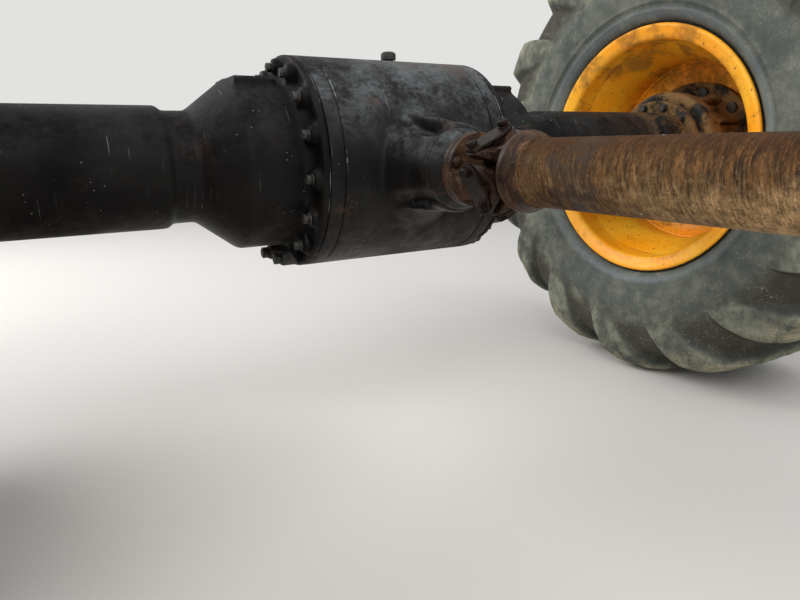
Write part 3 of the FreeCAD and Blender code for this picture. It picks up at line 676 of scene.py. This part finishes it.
def orange_paint(name, dirt_at):
    """Worn yellow-orange paint with rust where it is chipped, mud that has run and dried, and dark lines
    of dirt and painted shade in the rim's creases.
    """
    material, shader, place, facing = new_finish(name, 0.4)
    film = place.noise(8, 5, 0.6)
    speckle = place.noise(90, 4, 0.65)
    high = (place.part("Z") - AXLE.z).rise(0.02, 0.2)
    colour = film.rise(0.3, 0.7).blend(seen(254, 160, 8), seen(255, 188, 46))
    dirt = (place.noise(15, 5, 0.7) + high * 0.16).rise(dirt_at, dirt_at + 0.16)
    colour = colour.coated(dirt * 0.8 * (0.5 + 0.5 * speckle), 112, 78, 36)
    stain = place.noise(42, 4, 0.7, 1.5).rise(0.54, 0.66)
    colour = colour.coated(stain * 0.35, 176, 108, 36)
    chip = (place.cells(64) + place.noise(150, 2) * 0.06).rise(0.2, 0.13)
    chip = chip * place.noise(19, 3).rise(0.5, 0.58)
    colour = colour.coated(chip * 0.9, 92, 52, 30)
    across = abs(place.part("X"))
    # Dark lines in the rim's creases: dirt, and painted shade.
    groove_dirt_and_shade = sum(across.near(WHEEL_X - inward, width) * thick for inward, width, thick in GROOVE_DIRT_AND_SHADE)
    broken = place.noise(11, 5, 0.7).rise(0.42, 0.6)
    colour = colour.coated(groove_dirt_and_shade * broken * 0.6, 130, 80, 30)
    relief = place.noise(60, 3) * 0.2 - chip * 0.4 + dirt * speckle * 0.7
    give(shader, colour, 0.4 + dirt * 0.35 + speckle * 0.1, relief, 0.001)
    return material


disc_paint = orange_paint("orange_disc_paint", 0.57)
rim_paint = orange_paint("orange_rim_paint", 0.6)
DISC_PROFILE = [
    (HUB_FLANGE_FACE, 0.1105), (HUB_FLANGE_FACE, 0.168), (0.894, 0.192), (0.893, 0.214),
    (0.907, 0.214), (0.908, 0.194), (DISC_OUTSIDE, 0.170), (DISC_OUTSIDE, 0.1105),
]
NUT_SEAT = [(-0.001, 0), (-0.001, 0.0185), (0.004, 0.017), (0.005, 0)]
STUD_HEAD = [(-0.001, 0), (-0.001, 0.013), (0.006, 0.012), (0.007, 0)]
for side, sign in SIDES:
    disc = bmesh.new()
    turn(disc, DISC_PROFILE, wheel_place(sign), 144, 0.003)
    dress(to_object(disc, "wheel_disc_pressing_" + side), "wheel_" + side, "rim_orange", disc_paint,
          "wheel_disc_" + side)
    nuts = bmesh.new()
    outward = Vector((sign, 0, 0))
    for number in range(DISC_NUTS):
        degrees = 360 / DISC_NUTS * (number + 0.25)
        foot = round_axle(sign * DISC_OUTSIDE, NUT_CIRCLE, degrees)
        turn(nuts, NUT_SEAT, aimed(foot, outward), 24, 0.0006)
        bolt(nuts, foot + outward * 0.003, outward, 0.027, 0.019, number * 1.3, 0.009)
        stud = round_axle(sign * HUB_FLANGE_BACK, NUT_CIRCLE, degrees)
        turn(nuts, STUD_HEAD, aimed(stud, -outward), 20, 0.0008)
    dress(to_object(nuts, "wheel_nuts_" + side), "wheel_" + side, "hub_black", black_bolts)

# The rims are rolled from steel in one ring: a well in the middle, two bead seats and two flanges
# whose edges are rolled over. A weld on each side of the disc holds it, and a valve stands in it.
RIM_HALF_PROFILE = [
    (0.063, 0.222), (0.121, 0.254), (0.165, 0.254), (0.165, 0.2695), (0.1665, 0.2745), (0.170, 0.2780),
    (0.1745, 0.2790), (0.1785, 0.2780), (0.180, 0.2750), (0.1799, 0.2722), (0.1789, 0.2690),
    (0.1772, 0.2650), (0.1752, 0.2600), (0.1734, 0.2545), (0.1712, 0.2495), (0.1670, 0.2465),
    (0.1600, 0.2455), (0.1240, 0.2455), (0.1180, 0.2440), (0.063, 0.214),
]
WELD_PLACES = (0.8925, 0.9075)
WELD_RADIUS = 0.2135
WELD_SIZE = 0.0048
WELD_RIPPLES = 90
VALVE_X = 0.096  # from the wheel's middle
VALVE_PLACE = (0.236, 148)  # from the axle's line, and degrees from -Y towards +Z
VALVE_PROFILE = [
    (-0.004, 0), (-0.004, 0.010), (0.005, 0.0095), (0.008, 0.005), (0.034, 0.0042), (0.034, 0.0052),
    (0.043, 0.0048), (0.044, 0),
]


def weld(whole, place, radius, size, ripples):
    """Adds a ring of weld, with the small humps that the welder's runs leave."""
    made = bmesh.new()
    start = Matrix.Translation((0, 0, radius)) @ Matrix.Rotation(math.pi / 2, 4, "X")
    bmesh.ops.create_circle(made, segments=8, radius=size, matrix=start)
    bmesh.ops.spin(
        made, geom=made.verts[:] + made.edges[:], cent=(0, 0, 0), axis=(1, 0, 0), angle=math.tau,
        steps=ripples * 3, use_merge=True,
    )
    for v in made.verts:
        turned = math.atan2(v.co.y, v.co.z)
        core = Vector((0, math.sin(turned), math.cos(turned))) * radius
        swell = 1 + 0.2 * math.sin(turned * ripples) + 0.35 * noise.noise(v.co * 60)
        v.co = core + (v.co - core) * swell
    bmesh.ops.transform(made, matrix=place, verts=made.verts)
    join(whole, made)


for side, sign in SIDES:
    rim = bmesh.new()
    place = wheel_place(sign) @ Matrix.Translation((WHEEL_X, 0, 0))
    inboard = [(-across, radius) for across, radius in RIM_HALF_PROFILE[::-1]]
    turn(rim, inboard + RIM_HALF_PROFILE, place, 180)
    for across in WELD_PLACES:
        seam = wheel_place(sign) @ Matrix.Translation((across, 0, 0))
        weld(rim, seam, WELD_RADIUS, WELD_SIZE, WELD_RIPPLES)
    rim = to_object(rim, "rolled_rim_" + side, math.radians(50))
    dress(rim, "wheel_" + side, "rim_orange", rim_paint, "rim_" + side)
    valve = bmesh.new()
    foot = round_axle(sign * (WHEEL_X + VALVE_X), *VALVE_PLACE)
    leaning = (AXLE + Vector((foot.x, 0, 0)) - foot).normalized() + Vector((sign * 1.6, 0, 0))
    turn(valve, VALVE_PROFILE, aimed(foot, leaning), 20, 0.0004)
    dress(to_object(valve, "valve_" + side), "wheel_" + side, "tyre_rubber", black_bolts)

# The tyres are worn rubber on a cross-ply casing, with fifteen heavy lugs on each side that run
# from the crown over the shoulder on to the side wall. Air holds them on the rims' bead seats.
CROWN = 0.5375
TYRE_LUGS = 15
COLUMNS = 36  # of the mesh in one pitch of the lugs
TOP_COLUMNS = 5  # of them from a lug's middle to the edge of its top
FOOT_COLUMNS = 12  # and to the foot of its flank
PITCH = math.tau / TYRE_LUGS
LUG_FLANK = 0.019
CROWN_SLANT = 0.475  # how far a lug leans ahead on the other side of the crown, per metre
CROWN_OVERLAP = 0.018  # and how far across it reaches there
ROWS_BETWEEN = 3

# Half of the casing's outside from the crown to the bead: (across, radius) in the groove, the same
# on top of a lug, the lug's half width, and how far it lies ahead of its outer end
LUG_SECTIONS = [
    (0.0000, 0.5030, 0.0000, 0.5375, 0.032, 0.225),
    (0.0600, 0.5025, 0.0610, 0.5368, 0.034, 0.196),
    (0.1100, 0.5000, 0.1150, 0.5345, 0.038, 0.166),
    (0.1460, 0.4930, 0.1540, 0.5280, 0.043, 0.136),
    (0.1700, 0.4795, 0.1810, 0.5130, 0.048, 0.112),
    (0.1840, 0.4600, 0.1970, 0.4880, 0.051, 0.088),
    (0.1920, 0.4380, 0.2030, 0.4590, 0.052, 0.063),
    (0.1955, 0.4150, 0.2030, 0.4300, 0.050, 0.038),
    (0.1970, 0.3980, 0.2025, 0.4070, 0.044, 0.017),
    (0.2005, 0.3820, 0.2008, 0.3830, 0.030, 0.002),
]
WALL_SECTIONS = [
    (0.2028, 0.3650), (0.2012, 0.3480), (0.1978, 0.3300), (0.1965, 0.3255), (0.1972, 0.3235),
    (0.1972, 0.3200), (0.1940, 0.3180), (0.1900, 0.3085), (0.1905, 0.3060), (0.1895, 0.3030),
    (0.1845, 0.2990), (0.1800, 0.2915), (0.1720, 0.2840), (0.1655, 0.2800),
]
BEAD = [
    (0.1648, 0.2546), (0.1340, 0.2546), (0.1390, 0.2790), (0.1720, 0.3230), (0.1820, 0.4050),
    (0.1740, 0.4560), (0.1400, 0.4880), (0.0800, 0.4905),
]


def eased(before, start, end, after, share):
    """A point on a smooth curve through a table's rows, between start and end."""
    square = share * share
    cube = square * share
    weights = (
        -0.5 * cube + square - 0.5 * share,
        1.5 * cube - 2.5 * square + 1,
        -1.5 * cube + 2 * square + 0.5 * share,
        0.5 * cube - 0.5 * square,
    )
    return sum((p * w for p, w in zip((before, start, end, after), weights)), Vector((0,) * len(start)))


sections = [Vector(row) for row in LUG_SECTIONS]
sections += [Vector((*row, *row, 0.030, 0.0)) for row in WALL_SECTIONS]
first = sections[1]  # mirrored past the crown, it is where the curve comes from
opposite = Vector((-first[0], first[1], -first[2], first[3], 2 * sections[0][4] - first[4], 0.254))
rows = []
for index in range(len(sections) - 1):
    before = sections[index - 1] if index else opposite
    after = sections[min(index + 2, len(sections) - 1)]
    parts = ROWS_BETWEEN if index < len(LUG_SECTIONS) else 1
    for part in range(parts):
        rows.append(eased(before, sections[index], sections[index + 1], after, part / parts))
rows.append(sections[-1])
LUG_END_ROWS = (7 * ROWS_BETWEEN, 9 * ROWS_BETWEEN)


def lug_turn(number, across, side):
    """How far a lug's middle is ahead of its outer end, as an angle, and its half width."""
    row = rows[number]
    if across * side >= 0:
        return row[5] / CROWN, row[4]
    return (rows[0][5] + abs(across) * CROWN_SLANT) / CROWN, rows[0][4]


def lug_height(number, across, angle, side):
    """How far a point stands up between the groove, 0, and the lug's top, 1, for one side's lugs."""
    ahead, half = lug_turn(number, across, side)
    phase = (angle - ahead) / PITCH - (0.5 if side > 0 else 0)
    away = abs((phase + 0.5) % 1 - 0.5) * PITCH * CROWN
    flank = 1 - step(away, half - LUG_FLANK / 2, half + LUG_FLANK / 2)
    inner_end = step(across * side, -CROWN_OVERLAP, 0.0)
    outer_end = 1 - step(number, *LUG_END_ROWS)
    return flank * inner_end * outer_end


def lugged_tyre(sign):
    """The tyre's mesh: its section turned about the axle, then pushed up into lugs."""
    bm = bmesh.new()
    row_of = bm.verts.layers.int.new("row")
    height_of = bm.verts.layers.float.new("lug")
    ring = []
    count = len(rows)
    outside = [(-rows[n][0], rows[n][1], -n - 1) for n in range(count - 1, 0, -1)]
    outside += [(rows[n][0], rows[n][1], n + 1) for n in range(count)]
    inside = [(across, radius, 0) for across, radius in BEAD]
    inside += [(-across, radius, 0) for across, radius in BEAD[::-1]]
    for across, radius, number in outside + inside:
        ring.append(bm.verts.new((across, 0, radius)))
        ring[-1][row_of] = number
    edges = [bm.edges.new(pair) for pair in zip(ring, ring[1:] + ring[:1])]
    bmesh.ops.spin(
        bm, geom=ring + edges, cent=(0, 0, 0), axis=(1, 0, 0), angle=math.tau,
        steps=TYRE_LUGS * COLUMNS, use_merge=True,
    )
    for v in bm.verts:
        if v[row_of] == 0:
            continue
        number = abs(v[row_of]) - 1
        side = 1 if v[row_of] > 0 else -1
        row = rows[number]
        column = math.atan2(v.co.y, v.co.z) / PITCH - (0.5 if side > 0 else 0)
        whole = math.floor(column + 0.5)
        share = column - whole
        half = row[4] / (PITCH * CROWN)
        flank = LUG_FLANK / 2 / (PITCH * CROWN)
        marks = [(0, 0), (TOP_COLUMNS / COLUMNS, half - flank), (FOOT_COLUMNS / COLUMNS, half + flank)]
        marks.append((0.5, 0.5))
        warped = abs(share)
        for (low, low_to), (high, high_to) in zip(marks, marks[1:]):
            if low <= abs(share) <= high:
                warped = low_to + (abs(share) - low) / (high - low) * (high_to - low_to)
        eased_in = step(abs(row[0]), 0.004, 0.05) * (1 - step(number, *LUG_END_ROWS))
        share += (math.copysign(warped, share) - share) * eased_in
        angle = (whole + share + (0.5 if side > 0 else 0)) * PITCH + row[5] / CROWN
        across = row[0] * side
        height = max(lug_height(number, across, angle, s) for s in (1, -1))
        point = Vector((row[0], row[1])).lerp(Vector((row[2], row[3])), height)
        v.co = (point.x * side, point.y * math.sin(angle), point.y * math.cos(angle))
        if number < LUG_END_ROWS[1]:
            v[height_of] = height
            wear = noise.noise(v.co * 16) * 0.0022 + noise.noise(v.co * 52) * 0.0009
            v.co -= v.co.normalized() * max(wear, -0.001) * (0.4 + height)
        else:
            v[height_of] = 0.5
    middle = wheel_place(sign) @ Matrix.Translation((WHEEL_X, 0, 0))
    bmesh.ops.transform(bm, matrix=middle, verts=bm.verts)
    bmesh.ops.recalc_face_normals(bm, faces=bm.faces)
    return bm


material, shader, place, facing = new_finish("dusty_rubber", 0.3)
spoke = (place.part("Y") ** 2 + (place.part("Z") - AXLE.z) ** 2) ** 0.5
lug = place.node("Attribute", {"attribute_name": "lug"}, {}, 2)
film = place.noise(7, 5, 0.65)
blotch = place.noise(28, 5, 0.65)
grit = place.noise(170, 4, 0.7)
paleness = (film * 0.4 + blotch * 0.4 + grit * 0.2).rise(0.38, 0.64)
colour = paleness.blend(seen(76, 80, 73), seen(132, 134, 117))
# Dark patches of painted shade over parts of the rubber; there it is also a little less rough, as if damp.
shade_and_damp = place.noise(4.3, 4, 0.6, 0.3).rise(0.5, 0.58)
colour = colour.coated(shade_and_damp * 0.55, 52, 57, 53)
worn = spoke.rise(0.45, 0.52) * lug.rise(0.6, 0.95)
worn = worn * (film * 0.5 + blotch * 0.5 + grit * 0.5).rise(0.62, 0.9)
colour = colour.coated(worn * 0.6, 168, 158, 128)
# Painted shade: the grooves between the lugs are coloured darker.
groove = spoke.rise(0.385, 0.43) * lug.rise(0.6, 0.1)
colour = colour.coated(groove * (0.65 + 0.35 * blotch), 52, 46, 38)
# Painted shade: the flanks of the lugs are coloured darker.
flank = spoke.rise(0.385, 0.43) * lug.near(0.45, 0.45)
colour = colour.coated(flank * 0.7, 44, 47, 45)
wall = spoke.rise(0.40, 0.375)
colour = colour.coated(wall * (0.3 + 0.3 * film), 80, 85, 82)
pale_ring = spoke.near(0.300, 0.014)
colour = colour.coated(pale_ring * 0.4, 132, 142, 148)
dark_ring = spoke.rise(0.287, 0.282)
colour = colour.coated(dark_ring * 0.85, 26, 27, 28)
rubbed = place.scaled(60, 60, 60).noise(1, 4, 0.7).rise(0.6, 0.75)
colour = colour.coated(rubbed * 0.3, 172, 170, 158)
colour = colour.coated(grit.rise(0.52, 0.7) * 0.5, 56, 58, 54)
pale_grit = place.noise(230, 3, 0.7).rise(0.56, 0.7) * blotch.rise(0.44, 0.6)
colour = colour.coated(pale_grit * 0.5, 160, 164, 152)
crack = place.cells(46).rise(0.09, 0.04) * place.noise(12, 3).rise(0.5, 0.6)
colour = colour.coated(crack * 0.6, 44, 44, 42)
relief = blotch * 0.7 + grit * 0.5 + pale_grit * 0.15 - crack * 0.3
give(shader, colour, 0.76 + grit * 0.18 - shade_and_damp * 0.14, relief, 0.002)
rubber = material

for side, sign in SIDES:
    tyre = to_object(lugged_tyre(sign), "lugged_tyre_" + side, math.radians(60))
    dress(tyre, "wheel_" + side, "tyre_rubber", rubber, "tyre_" + side)

# The pinion's seal sits in a turned iron plate, driven into the nose and painted with it.
retainer = bmesh.new()
to_pinion = Matrix.Translation(PINION) @ Matrix.Rotation(-math.pi / 2, 4, "Z")
RETAINER_PROFILE = [
    (0.2565, 0.0301), (0.2565, 0.0572), (0.2650, 0.0566), (0.2750, 0.0490), (0.279, 0.0440),
    (0.279, 0.037), (0.276, 0.036), (0.276, 0.0301),
]
turn(retainer, RETAINER_PROFILE, to_pinion, 96, 0.0012)
retainer = to_object(retainer, "pinion_retainer_turned")
dress(retainer, "axle", "axle_black", housing_paint, "pinion_retainer")

# The propshaft's forgings are rusty steel under brown dust, and the crosses and their caps are
# wet with grease. A companion flange on the pinion's shaft carries the first flange yoke.
FLANGE_RADIUS = 0.050
FLANGE_THICKNESS = 0.010
FLANGE_BOLT_CIRCLE = 0.042
JOINT_TURN = math.radians(28)
EARS_A = Vector((math.cos(JOINT_TURN), 0, math.sin(JOINT_TURN)))
EARS_B = Vector((-math.sin(JOINT_TURN), 0, math.cos(JOINT_TURN)))
GREASE_PLACES = (-0.350, -1.190)  # beside the two crosses, along Y
GREASE_REACH = 0.045


def rusty_forging(name, dark, light, grease):
    """Rust-brown forged steel with patches of pale dust, and dark grease where grease is 1."""
    material, shader, place, facing = new_finish(name, 0.24 - grease * 0.14)
    cloud = place.noise(26, 5, 0.65, 0.5)
    speckle = place.noise(210, 4, 0.7)
    up = facing.part("Z")
    colour = cloud.rise(0.36, 0.64).blend(dark, light)
    streaks = place.scaled(30, 190, 30).noise(1, 5, 0.7, 0.8)
    colour = colour.coated(streaks.rise(0.5, 0.64) * 0.5, 118, 86, 58)
    colour = colour.coated(streaks.rise(0.46, 0.38) * 0.6, 30, 20, 16)
    worn = place.noise(60, 4, 0.7).rise(0.58, 0.7) * (1 - grease * 0.6)
    colour = colour.coated(worn * 0.5, 134, 118, 90)
    along = place.part("Y")
    flung = sum(along.near(middle, GREASE_REACH) for middle in GREASE_PLACES) * 0.25
    wet = (place.noise(21, 4, 0.6) + flung).rise(0.5 - grease * 0.2, 0.62 - grease * 0.2)
    colour = colour.coated(wet * (0.45 + 0.4 * grease), 20, 12, 10)
    colour = colour.coated(speckle.rise(0.56, 0.72) * 0.35, 128, 92, 58)
    give(shader, colour, 0.74 - wet * 0.36, cloud * 0.4 + speckle * 0.5 + streaks * 0.3, 0.0014)
    return material


rusty = rusty_forging("rusty_forging", seen(40, 26, 19), seen(80, 55, 38), 0.45)
greasy = rusty_forging("greasy_steel", seen(12, 8, 7), seen(40, 26, 20), 0.95)

FLANGE_BACK = 0.284
FLANGE_FRONT = FLANGE_BACK + FLANGE_THICKNESS - 0.0002
COMPANION_PROFILE = [
    (0.2655, 0), (0.2655, 0.030), (FLANGE_BACK, 0.030), (FLANGE_BACK, FLANGE_RADIUS),
    (FLANGE_FRONT, FLANGE_RADIUS), (FLANGE_FRONT, 0),
]
flange = bmesh.new()
turn(flange, COMPANION_PROFILE, to_pinion, 96, 0.0014)
dress(to_object(flange, "companion_flange_turned"), "pinion", "rusty_steel", rusty, "companion_flange")

# Each joint is two forged yokes at right angles to each other, with a cross between them. The ears
# of a yoke are hollowed on the outside, and a plate with two bolts holds each bearing cap.
joint_places = {joint["name"]: joint.get("pos_m") for joint in frame["joints"]}
FRONT_CROSS = Vector(joint_places["front_joint_shaft_pin"])
REAR_CROSS = Vector(joint_places["rear_joint_sleeve_pin"])
EAR_FACE = 0.044
PLATE_FACE = 0.049
SCOOP_ALONG = 0.026
SCOOP_HALF = (0.016, 0.031)
SCOOP_DEPTH = 0.008
EAR_THICKNESS = 0.012
FORGING_GRAIN = 0.0012
FORGING_ROUNDS = 3
CAP_GRAIN = 0.0011
CAP_BOLT_OFFSET = 0.027
CAP_BOLT_FLATS = 0.013


def joint_forging(node, centre, ears, flange_y=None):
    """A yoke run together from its frame node, hollowed outside its ears, with a crisp flange."""

    def hollowed(point):
        away = point - centre
        out = away.dot(ears)
        across = away.dot(ears.cross(Vector((0, 1, 0))))
        along = abs(away.y)
        reach = ((along - SCOOP_ALONG) / SCOOP_HALF[0]) ** 2 + (across / SCOOP_HALF[1]) ** 2
        if abs(out) < EAR_FACE - EAR_THICKNESS or reach >= 1:
            return Vector()
        return ears * (-math.copysign(SCOOP_DEPTH, out) * (1 - reach))

    forging = cast(shape_of(node), node + "_forging", FORGING_GRAIN, FORGING_ROUNDS, None, hollowed)
    if flange_y is not None:
        crisp = bmesh.new()
        crisp.from_mesh(forging.data)
        half = FLANGE_THICKNESS / 2
        rim = plain_round(flange_y - half, flange_y + half, FLANGE_RADIUS, 0.0465)
        turn(crisp, rim, to_pinion, 120, 0.0012)
        crisp.to_mesh(forging.data)
        crisp.free()
        forging.data.shade_smooth()
        forging.data.set_sharp_from_angle(angle=math.radians(50))
    return forging


def cap_bolts(name, centre, ears):
    """The two bolts of each of a yoke's two cap plates."""
    bolts = bmesh.new()
    across = ears.cross(Vector((0, 1, 0)))
    for way in (1, -1):
        for offset in (-CAP_BOLT_OFFSET, CAP_BOLT_OFFSET):
            foot = centre + ears * (way * PLATE_FACE) + across * offset
            bolt(bolts, foot, ears * way, CAP_BOLT_FLATS, 0.0065, way + offset * 30)
    return to_object(bolts, name)


front_flange_y = -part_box("front_flange_yoke")[1].y + FLANGE_THICKNESS / 2
rear_flange_y = -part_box("rear_flange_yoke")[0].y - FLANGE_THICKNESS / 2
for node, body, centre, ears, flange_y in (
    ("front_flange_yoke", "pinion", FRONT_CROSS, EARS_A, front_flange_y),
    ("tube_yoke", "shaft", FRONT_CROSS, EARS_B, None),
    ("sleeve_yoke", "sleeve", REAR_CROSS, EARS_B, None),
    ("rear_flange_yoke", "drive_end", REAR_CROSS, EARS_A, rear_flange_y),
):
    forging = joint_forging(node, centre, ears, flange_y)
    dress(forging, body, "rusty_steel", rusty, node)
    caps = cast(shape_of(node + "_caps"), node + "_caps_forging", CAP_GRAIN, CASTING_ROUNDS)
    dress(caps, body, "greasy_steel", greasy, node + "_caps")
    dress(cap_bolts(node + "_cap_bolts", centre, ears), body, "greasy_steel", greasy)

# The front flange yoke is bolted to the companion flange between its ears. The rear one waits for
# the gearbox, so its four holes are open.
YOKE_FLANGE_FACE = -(front_flange_y + FLANGE_THICKNESS / 2)
bolts = bmesh.new()
for number in range(4):
    angle = math.radians(45 + 90 * number) + JOINT_TURN
    out = Vector((math.cos(angle), 0, math.sin(angle))) * FLANGE_BOLT_CIRCLE
    foot = PINION + out + Vector((0, YOKE_FLANGE_FACE, 0))
    bolt(bolts, foot, (0, -1, 0), 0.012, 0.0065, number, 0.004)
dress(to_object(bolts, "flange_bolts"), "pinion", "rusty_steel", rusty)

# A cross is forged with four trunnions, each with a seal where it enters its cap, and is filled
# with grease through a nipple.
CROSS_SEAL = plain_round(0.0195, 0.0248, 0.0168, 0.0142)
CROSS_NIPPLE = [
    (0.014, 0), (0.014, 0.0052), (0.0215, 0.0052), (0.0225, 0.0028), (0.0265, 0.0024),
    (0.0275, 0.0034), (0.0295, 0.0030), (0.0305, 0),
]
for node, centre in (("front_cross", FRONT_CROSS), ("rear_cross", REAR_CROSS)):
    cross = cast(shape_of(node), node + "_forging", FORGING_GRAIN, FORGING_ROUNDS)
    dress(cross, node, "greasy_steel", greasy, node)
    details = bmesh.new()
    for direction in (EARS_A, -EARS_A, EARS_B, -EARS_B):
        turn(details, CROSS_SEAL, aimed(centre, direction), 40, 0.0008)
    turn(details, CROSS_NIPPLE, aimed(centre, EARS_B - EARS_A), 18, 0.0003)
    dress(to_object(details, node + "_seals"), node, "greasy_steel", greasy)

# The shaft is a steel tube, welded to the first yoke and to the splined stub. Rust and mud have run round
# it in streaks, and dried to a tan crust towards the rear and below; underneath, the paler crust is also
# painted light from below, and the upper side is painted darker as shade.
material, shader, place, facing = new_finish("rusty_tube", 0.12)
back = 0 - place.part("Y")
up = facing.part("Z")
leaning = place.node("VectorRotate", {"rotation_type": "X_AXIS"}, {"Vector": place, "Angle": 0.2})
streaks = leaning.scaled(26, 170, 26).noise(1, 6, 0.7, 0.9)
fine = leaning.scaled(60, 520, 60).noise(1, 5, 0.75, 0.6)
cloud = place.noise(13, 5, 0.65)
speckle = place.noise(260, 4, 0.7)
crumbs = place.noise(95, 5, 0.7)
colour = (cloud * 0.6 + streaks * 0.4).rise(0.38, 0.6).blend(seen(56, 38, 24), seen(102, 72, 42))
colour = colour.coated(streaks.rise(0.5, 0.62) * 0.6, 136, 94, 54)
colour = colour.coated(streaks.rise(0.49, 0.4) * 0.7, 40, 31, 25)
colour = colour.coated(fine.rise(0.54, 0.64) * 0.55, 160, 122, 78)
colour = colour.coated(fine.rise(0.46, 0.36) * 0.65, 38, 28, 22)
black = place.noise(15, 4, 0.6).rise(0.54, 0.64) * back.rise(0.95, 0.5)
colour = colour.coated(black * 0.6, 48, 46, 42)
# The crust lies thicker underneath and towards the rear: mud, and on the lower side also painted light.
mud = (0 - up).rise(-0.5, 0.5) * back.rise(0.40, 0.85)
colour = colour.coated(back.rise(0.60, 0.42) * 0.35, 42, 28, 19)
crust = (crumbs * 0.4 + cloud * 0.2 + fine * 0.3 + speckle * 0.3 + mud * 0.24).rise(0.6, 0.82)
colour = colour.coated(crust * 0.85, 196, 158, 112)
colour = colour.coated(speckle.rise(0.5, 0.62) * 0.6, 60, 43, 30)
# Painted shade: the tube's upper side is coloured a darker brown.
colour = colour.coated(up.rise(0.3, 0.9) * 0.7, 62, 36, 15)
white = place.cells(34).rise(0.07, 0.035) * place.noise(9, 2).rise(0.5, 0.6)
colour = colour.coated(white * 0.8, 206, 200, 184)
relief = streaks * 0.5 + fine * 0.35 + crust * 0.9 + speckle * crust * 0.5
give(shader, colour, 0.84 - black * 0.25, relief, 0.0016)
rusty_tube = material

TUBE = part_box("shaft_tube")
TUBE_RADIUS = TUBE[1].x
TUBE_WALL = 0.004
TUBE_WELD = (TUBE_RADIUS - 0.0006, 0.0024, 46)  # its radius, size and ripples
tube = bmesh.new()
low, high = -TUBE[1].y, -TUBE[0].y
turn(tube, plain_round(low, high, TUBE_RADIUS, TUBE_RADIUS - TUBE_WALL), to_pinion, 128)
for end in (low, high):
    weld(tube, to_pinion @ Matrix.Translation((end, 0, 0)), *TUBE_WELD)
dress(to_object(tube, "shaft_tube_drawn"), "shaft", "rusty_steel", rusty_tube, "shaft_tube")

# The stub is splined over its whole length behind a cone, and the sleeve slides on it. A screwed
# cap holds the sleeve's seal, and old grease stands round it.
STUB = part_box("spline_stub")
SPLINES = 20
SPLINE_DEPTH = 0.0025
SHANK = 0.022
CONE_END = 0.975
SUNK = 0.004  # of the shank in the cone
low, high = -STUB[1].y, -STUB[0].y
cone = [(low, 0), (low, TUBE_RADIUS), (low + 0.003, TUBE_RADIUS), (CONE_END, SHANK + 0.002), (CONE_END, 0)]
stub = bmesh.new()
turn(stub, cone, to_pinion, 96, 0.001)
splines = bmesh.new()
middle = Matrix.Translation(((CONE_END - SUNK + high) / 2, 0, 0))
bmesh.ops.create_cone(
    splines, cap_ends=True, segments=SPLINES * 4, radius1=SHANK, radius2=SHANK,
    depth=high - CONE_END + SUNK, matrix=to_pinion @ middle @ Matrix.Rotation(math.pi / 2, 4, "Y"),
)
for v in splines.verts:
    out = v.co - PINION
    out.y = 0
    tooth = round(math.atan2(out.x, out.z) / math.tau * SPLINES * 4 - 0.5) % 4
    if tooth in (0, 1):
        v.co -= out.normalized() * SPLINE_DEPTH
join(stub, splines)
dress(to_object(stub, "spline_stub_machined"), "shaft", "greasy_steel", greasy, "spline_stub")

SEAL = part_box("sleeve_seal")
SEAL_BORE = 0.0221
SEAL_RADIUS = 0.037
low, high = -SEAL[1].y, -SEAL[0].y
seal_profile = [
    (low, SEAL_BORE), (low, 0.034), (low + 0.002, SEAL_RADIUS), (low + 0.006, SEAL_RADIUS),
    (low + 0.006, 0.0355), (low + 0.008, 0.0355), (low + 0.008, SEAL_RADIUS), (high, SEAL_RADIUS),
    (high, SEAL_BORE),
]
seal = bmesh.new()
turn(seal, seal_profile, to_pinion, 72, 0.0008)
dress(to_object(seal, "sleeve_seal_cap"), "sleeve", "greasy_steel", greasy, "sleeve_seal")
SLEEVE_RADIUS = 0.033
NIPPLE_PROFILE = [
    (-0.003, 0), (-0.003, 0.0055), (0.003, 0.0055), (0.0045, 0.0028), (0.008, 0.0026),
    (0.009, 0.0035), (0.011, 0.003), (0.012, 0),
]
nipple = bmesh.new()
foot = PINION + Vector((0, -(high + 0.022), 0)) + EARS_A * SLEEVE_RADIUS
turn(nipple, NIPPLE_PROFILE, aimed(foot, EARS_A), 18, 0.0003)
dress(to_object(nipple, "sleeve_nipple"), "sleeve", "greasy_steel", greasy)
